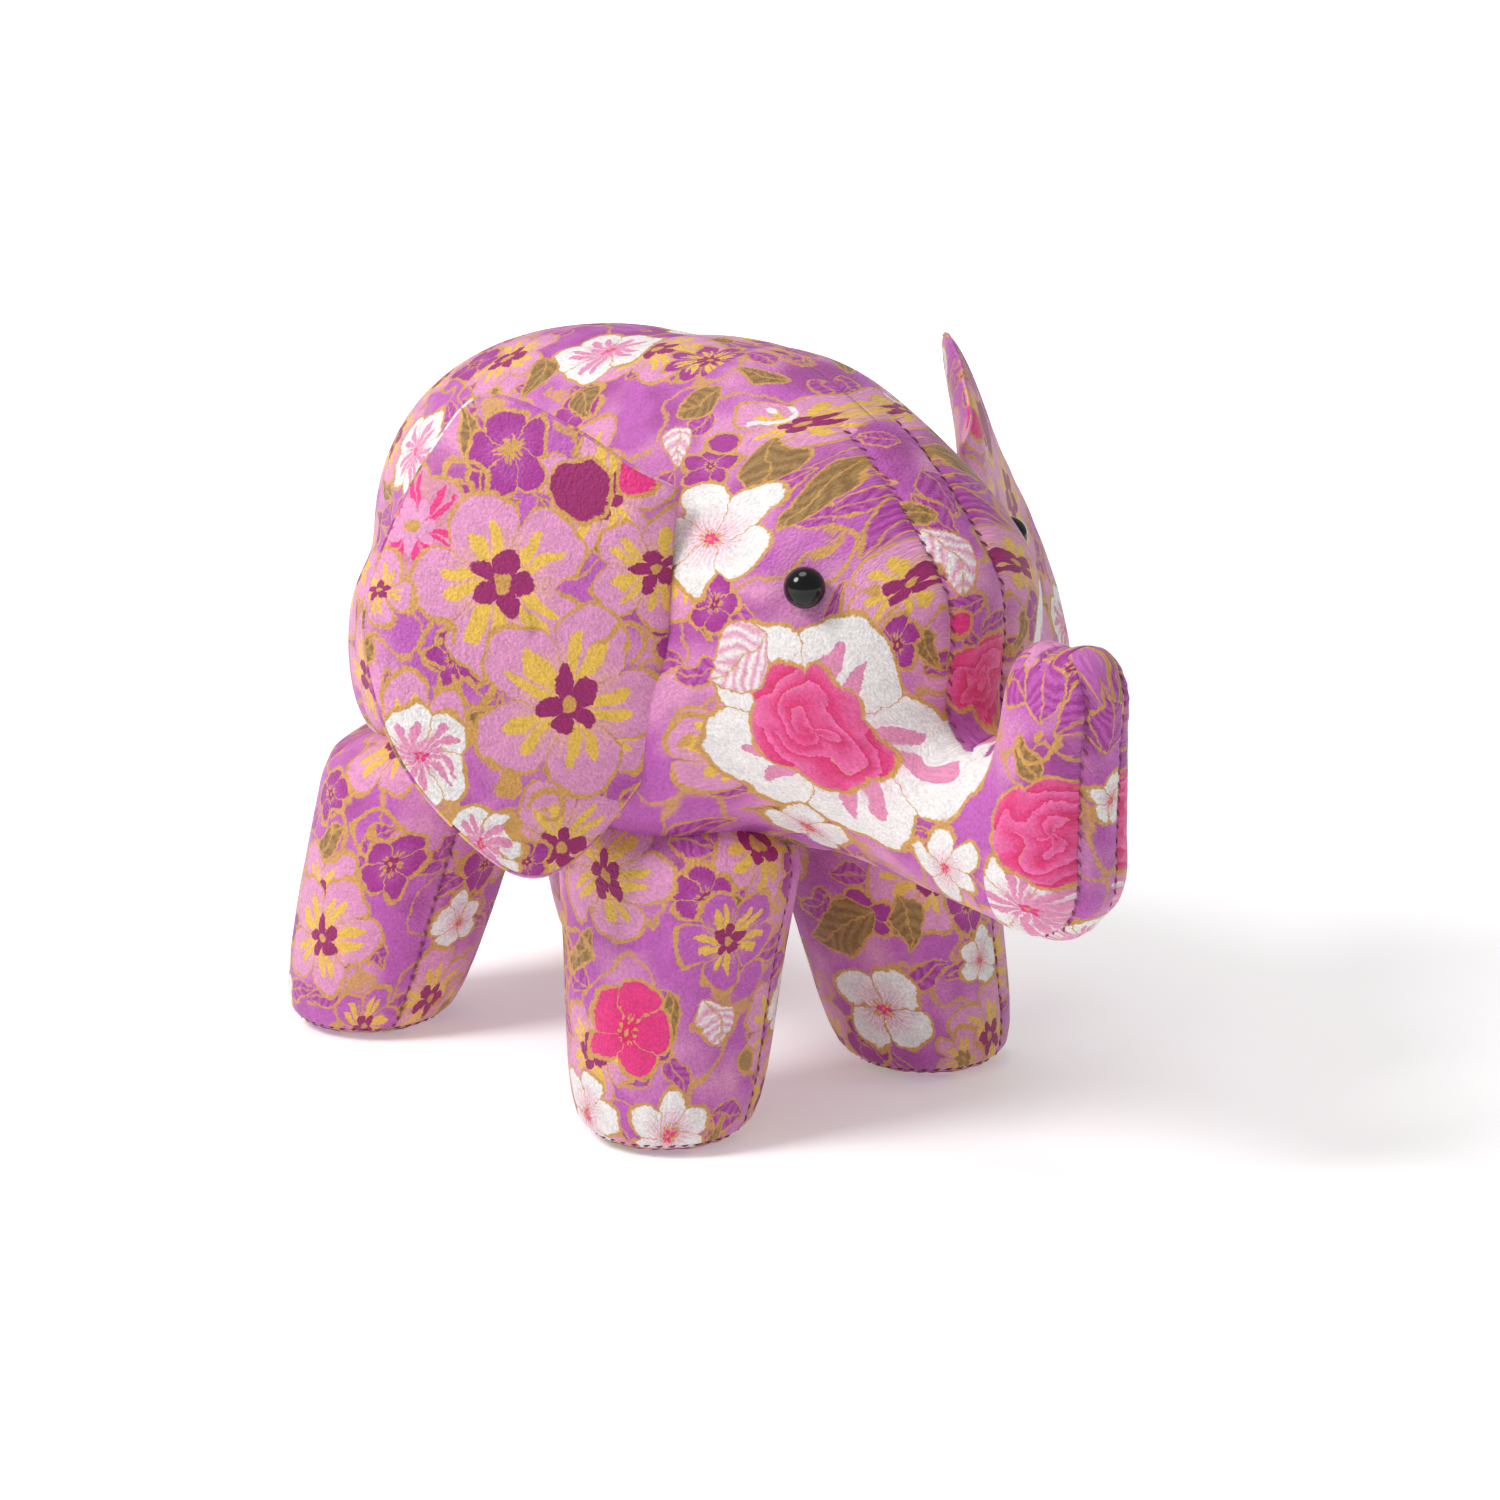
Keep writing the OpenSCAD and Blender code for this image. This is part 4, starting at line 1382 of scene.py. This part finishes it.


# %% [markdown]
# The motifs of each panel are listed one by one, as the maker lays the pattern pieces on the cloth:
# the look, its place on the flat cloth, its size and its turn.

# %% Pattern of each panel
TORSO_MOTIFS = [
    (WIDE_WHITE, (5, 160), 12, 0), (BLOSSOM | {"Petals": 8, "Petal": PURPLE}, (33, 163), 9, 0),
    (LEAF, (14.5, 145), 6, 30), (LEAF, (43, 150), 6, 120), (LEAF, (-5, 148), 6, 80),
    (PALE_LEAF | {"Width": 3.2}, (45, 140), 5, 60),
    (PALE_LEAF | {"Width": 5.5}, (-48, 62), 9, 40), (DOGWOOD, (-31, 96), 10, 0),
    (BLOSSOM, (-57, 96), 14, 0), (WIDE_WHITE, (-33, 126), 11, 0), (DOGWOOD, (-70, 128), 9, 0),
    (PINK_FLOWER, (-12, 112), 8, 0),
]
HEAD_MOTIFS = [
    (LEAF, (43, 150), 6, 120), (PALE_LEAF | {"Width": 3.2}, (45, 140), 5, 60),
    (CURL | {"Span": 0.45, "Edge": WHITE}, (56, 154), 4.2, 110), (DISC, (53, 144.5), 2.6, 0),
    (LEAF | {"Width": 3.6}, (64.5, 138), 8, 75), (LEAF | {"Width": 3.6}, (76, 131), 8, 105),
    (DOGWOOD, (61, 122.5), 12.5, 20), (PURPLE_LEAF, (91, 129), 9.5, 80),
    (PURPLE_LEAF | {"Width": 3}, (101, 126), 7, 45), (CURL | {"Span": 0.5}, (99, 113), 7, 200),
    (CURL | {"Span": 0.7}, (62, 82), 5, 60), (CURL | {"Span": 0.5}, (84, 120), 6, 80),
    (WIDE_WHITE, (88, 86), 25, 10), (ROSE, (86, 87), 13.5, 95),
    (PALE_LEAF | {"Width": 6}, (73, 99), 9, 140), (DOGWOOD | {"Petals": 4}, (75, 60), 9, 15),
    (DOGWOOD, (108, 64), 8, 40),
]
TRUNK_MOTIFS = [
    (WIDE_WHITE, (88, 86), 25, 10), (DOGWOOD, (108, 64), 8, 40),
    (PURPLE_LEAF, (125, 99), 6, 70), (PURPLE_LEAF | {"Width": 3}, (132, 96), 6, 110),
    (CURL | {"Span": 0.5}, (126, 91), 5, 180),
    (WIDE_WHITE, (125, 58), 12.5, 40), (ROSE, (127.5, 73), 10, 0), (DOGWOOD, (136, 79), 5, 0),
]
STRIP_MOTIFS = [
    (PALE_LEAF | {"Width": 4.5}, (-3, -62), 8, 80), (DOT, (-5.5, -75), 2.4, 0),
    (PURPLE_LEAF, (3, -48), 7, 80), (ROSE, (0, -86), 8, 0), (ROSE, (0, -101), 6, 90),
]
UNDER_MOTIFS = [(DOGWOOD, (211, 1), 5, 0), (PURPLE_LEAF, (227, 0), 6, 0), (WIDE_WHITE, (178, 0), 9, 0)]
EAR_MOTIFS = [
    (PEONY, (49, 17), 10, 10),
    (VIOLET | {"Heart": GOLD}, (30.5, 30), 8.5, 0), (CURL | {"Span": 0.7}, (38, 24), 5, 0),
    (BLOSSOM, (31.5, 6.5), 17.5, 0), (BLOSSOM, (3, 9), 12, 30),
    (BLOSSOM, (55, 5), 7.5, 30), (BLOSSOM, (20, -15), 18.5, 30),
    (DISC | {"Fill": PLUM}, (16.7, 24.3), 5.4, 0), (DOT, (6.7, 27.2), 3.6, 0),
    (CURL | {"Span": 0.8}, (43, -4), 5, 90), (CURL | {"Span": 0.6}, (38, -12), 4, 200),
    (CURL | {"Span": 0.7}, (9, -5), 4.5, 0),
    (WIDE_WHITE, (48, -24), 9.5, 0), (WIDE_WHITE | {"Petals": 4}, (38, -41), 8.5, 20),
    (DISC | {"Fill": GOLD}, (38.7, -20), 1.6, 0), (DISC | {"Fill": GOLD}, (33, -30), 2, 0),
    (DISC | {"Fill": GOLD}, (31, -38), 1.4, 0), (CURL | {"Span": 0.8}, (25, -34), 3.4, 0),
]
EAR_BACK_MOTIFS = [
    (WIDE_WHITE, (38, 31), 9, 0), (BLOSSOM, (22, 18), 13, 0), (ROSE, (28, -12), 9, 0),
    (DOGWOOD, (44, -8), 9, 0), (LEAF, (14, -4), 7, 60), (LEAF, (36, 6), 7, 120),
]
FRONT_LEG_MOTIFS = [
    (BLOSSOM, (-6, 54), 12.5, 0), (BLOSSOM | {"Petal": ORCHID}, (18, 44), 10, 20),
    (PINK_FLOWER, (0.5, 25.5), 9.3, 0), (PALE_LEAF | {"Width": 3.4}, (18, 27), 5.4, 70),
    (DOGWOOD, (-11, 7), 9, 0), (DOGWOOD | {"Petals": 6}, (10, 5), 9.5, 30),
    (DISC | {"Fill": OLIVE}, (27, 17), 2.4, 0), (LEAF, (-22, 36), 6, 70), (CURL, (-14, 38), 5, 0),
    (DOGWOOD, (-30, 18), 9, 0),
]
INNER_LEG_MOTIFS = [
    (DOGWOOD | {"Petals": 4}, (2, 16.5), 11, 40), (LEAF | {"Width": 5}, (-3, 33), 9, 150),
    (LEAF, (11, 36), 6, 80), (BLOSSOM | {"Heart": OLIVE}, (18, 5), 7, 0),
    (DOGWOOD, (26, 26), 7, 0), (PALE_LEAF | {"Width": 5}, (-24, 20), 10, 80),
]
REAR_LEG_MOTIFS = [
    (BLOSSOM, (10, 23), 13.5, 0), (CURL, (16, 46), 6, 0), (CURL, (6, 44), 5, 120),
    (BLOSSOM | {"Petal": ORCHID}, (24, 4), 9, 0), (BLOSSOM, (-18, 34), 12, 0), (DOGWOOD, (-8, 8), 8, 0),
    (VIOLET, (22, 40), 7, 0),
]

looks = {
    "torso": cloth_material("cloth_torso", TORSO_MOTIFS, 0),
    "head": cloth_material("cloth_head", HEAD_MOTIFS, 0),
    "trunk": cloth_material("cloth_trunk", TRUNK_MOTIFS, 0),
    "strip": cloth_material("cloth_strip", STRIP_MOTIFS, 8, blossoms=False),
    "under": cloth_material("cloth_under", UNDER_MOTIFS, 4, blossoms=False),
    "ear": cloth_material("cloth_ear", EAR_MOTIFS, 15),
    "ear_back": cloth_material("cloth_ear_back", EAR_BACK_MOTIFS, 24),
    "front_leg": cloth_material("cloth_front_leg", FRONT_LEG_MOTIFS, 33),
    "inner_leg": cloth_material("cloth_inner_leg", INNER_LEG_MOTIFS, 42),
    "rear_leg": cloth_material("cloth_rear_leg", REAR_LEG_MOTIFS, 51),
    "plain": cloth_material("cloth_belly", [], 60),
}


SIDE_SPLITS = (38.0, 116.0)


def dress_side(piece):
    """The long side cloth takes three materials, which draw the same ground and meet unseen."""
    for part in ("torso", "head", "trunk"):
        piece.data.materials.append(looks[part])
    along = np.zeros(len(piece.data.vertices) * 3)
    piece.data.attributes["flat"].data.foreach_get("vector", along)
    along = along.reshape(-1, 3)[:, 0]
    for face in piece.data.polygons:
        middle = float(np.mean([along[v] for v in face.vertices]))
        face.material_index = sum(middle > split for split in SIDE_SPLITS)


def look_for(name):
    if name.startswith("forehead"):
        return looks["strip"]
    if name.startswith("trunk_under"):
        return looks["under"]
    if name.startswith("ear"):
        return looks["ear"] if "front" in name else looks["ear_back"]
    if "inner" in name:
        return looks["inner_leg"]
    if "outer" in name:
        return looks["front_leg"] if name.startswith("front") else looks["rear_leg"]
    return looks["plain"]


for name, piece in cloth_pieces.items():
    piece.data.materials.clear()
    if name.startswith("side_cloth"):
        dress_side(piece)
    else:
        piece.data.materials.append(look_for(name))
    piece.data.update()

# %% Bead, thread and stuffing
def simple_material(name, colour, roughness):
    material = bpy.data.materials.new(name)
    material.use_nodes = True
    kit = Kit(material.node_tree)
    shader = material.node_tree.nodes["Principled BSDF"]
    shader.inputs["Roughness"].default_value = roughness
    place = kit.node("ShaderNodeTexCoord").outputs["Object"]
    return kit, shader, place, material, colour


def varied(made, scale, amount, height):
    """Uneven colour and a fine relief over a simple material."""
    kit, shader, place, material, colour = made
    level = kit.noise(place, scale, 3.0).outputs[0]
    darker = tuple(c * (1 - amount) for c in colour[:3]) + (1,)
    kit.join(kit.mix(level, darker, colour), shader.inputs["Base Color"])
    bump = kit.node("ShaderNodeBump")
    bump.inputs["Distance"].default_value = height * MM
    kit.join(level, bump.inputs["Height"])
    kit.join(bump.outputs[0], shader.inputs["Normal"])
    return material


bead_made = simple_material("eye_bead", linear(14, 12, 14), 0.12)
bead_made[1].inputs["Specular IOR Level"].default_value = 0.35
bead_material = varied(bead_made, 900, 0.3, 0.01)
thread_material = varied(simple_material("sewing_thread", linear(150, 62, 104), 0.7), 3000, 0.5, 0.05)
stuffing_material = varied(simple_material("stuffing", linear(232, 226, 216), 0.95), 700, 0.25, 0.8)


def dress(piece, material):
    piece.data.materials.clear()
    piece.data.materials.append(material)


for side_name in ("right", "left"):
    dress(bpy.data.objects[f"eye_{side_name}_bead"], bead_material)
dress(bpy.data.objects["eye_thread_strand"], thread_material)
for piece in stitch_pieces:
    dress(piece, thread_material)
for piece in fillings:
    dress(piece, stuffing_material)

# %% [markdown]
# ## Floor, light and camera
# The floor and the world are near white, and the floor glows more with distance so that it meets
# the world without a line. The key light is a soft disc above the elephant's right side, and a
# weaker and wider one hangs overhead.

# %% Floor
bm = bmesh.new()
bmesh.ops.create_grid(bm, x_segments=2, y_segments=2, size=4.0)
floor = new_object("floor", bm)
floor.location.z = -0.0002
floor_material = bpy.data.materials.new("floor")
floor_material.use_nodes = True
floor_shader = floor_material.node_tree.nodes["Principled BSDF"]
floor_shader.inputs["Base Color"].default_value = (0.95, 0.945, 0.945, 1)
floor_shader.inputs["Roughness"].default_value = 0.9
floor_shader.inputs["Specular IOR Level"].default_value = 0.1
floor_shader.inputs["Emission Color"].default_value = (1, 1, 1, 1)
kit = Kit(floor_material.node_tree)
place = kit.node("ShaderNodeTexCoord").outputs["Object"]
reach = kit.node("ShaderNodeVectorMath", operation="LENGTH")
kit.join(place, reach.inputs[0])
far = kit.math("MULTIPLY_ADD", reach.outputs["Value"], 1.6, -0.48, clamp=True)
kit.join(kit.math("MULTIPLY_ADD", far, 0.75, 0.25), floor_shader.inputs["Emission Strength"])
dress(floor, floor_material)

# %% World and lights
scene.view_settings.view_transform = "Standard"
world = bpy.data.worlds.new("studio")
world.use_nodes = True
sky = world.node_tree.nodes["Background"]
sky.inputs[0].default_value = (1, 1, 1, 1)
kit = Kit(world.node_tree)
seen = kit.node("ShaderNodeLightPath").outputs["Is Camera Ray"]
kit.join(kit.math("MULTIPLY_ADD", seen, 0.6, 0.4), sky.inputs[1])
scene.world = world


def soft_light(name, place, size, power, target=(0, 0, 0.08)):
    data = bpy.data.lights.new(name, "AREA")
    data.shape = "DISK"
    data.size = size
    data.energy = power
    lamp = bpy.data.objects.new(name, data)
    scene.collection.objects.link(lamp)
    lamp.location = place
    lamp.rotation_mode = "QUATERNION"
    lamp.rotation_quaternion = (Vector(place) - Vector(target)).to_track_quat("Z", "Y")
    return lamp


soft_light("key", (-0.2, -0.68, 0.8), 0.4, 7.4)
soft_light("top", (-0.1, -0.1, 1.2), 0.6, 4.0)

# %% Camera
TARGET = Vector((0.0042, 0, 0.0682))
AZIMUTH, ELEVATION, DISTANCE = math.radians(49.5), math.radians(14.7), 0.830
way = Vector((
    math.cos(ELEVATION) * math.sin(AZIMUTH), -math.cos(ELEVATION) * math.cos(AZIMUTH),
    math.sin(ELEVATION),
))
lens = bpy.data.cameras.new("camera")
lens.lens = 99.6
lens.sensor_width = 36
camera = bpy.data.objects.new("camera", lens)
scene.collection.objects.link(camera)
camera.location = TARGET + way * DISTANCE
camera.rotation_mode = "QUATERNION"
camera.rotation_quaternion = way.to_track_quat("Z", "Y")
scene.camera = camera
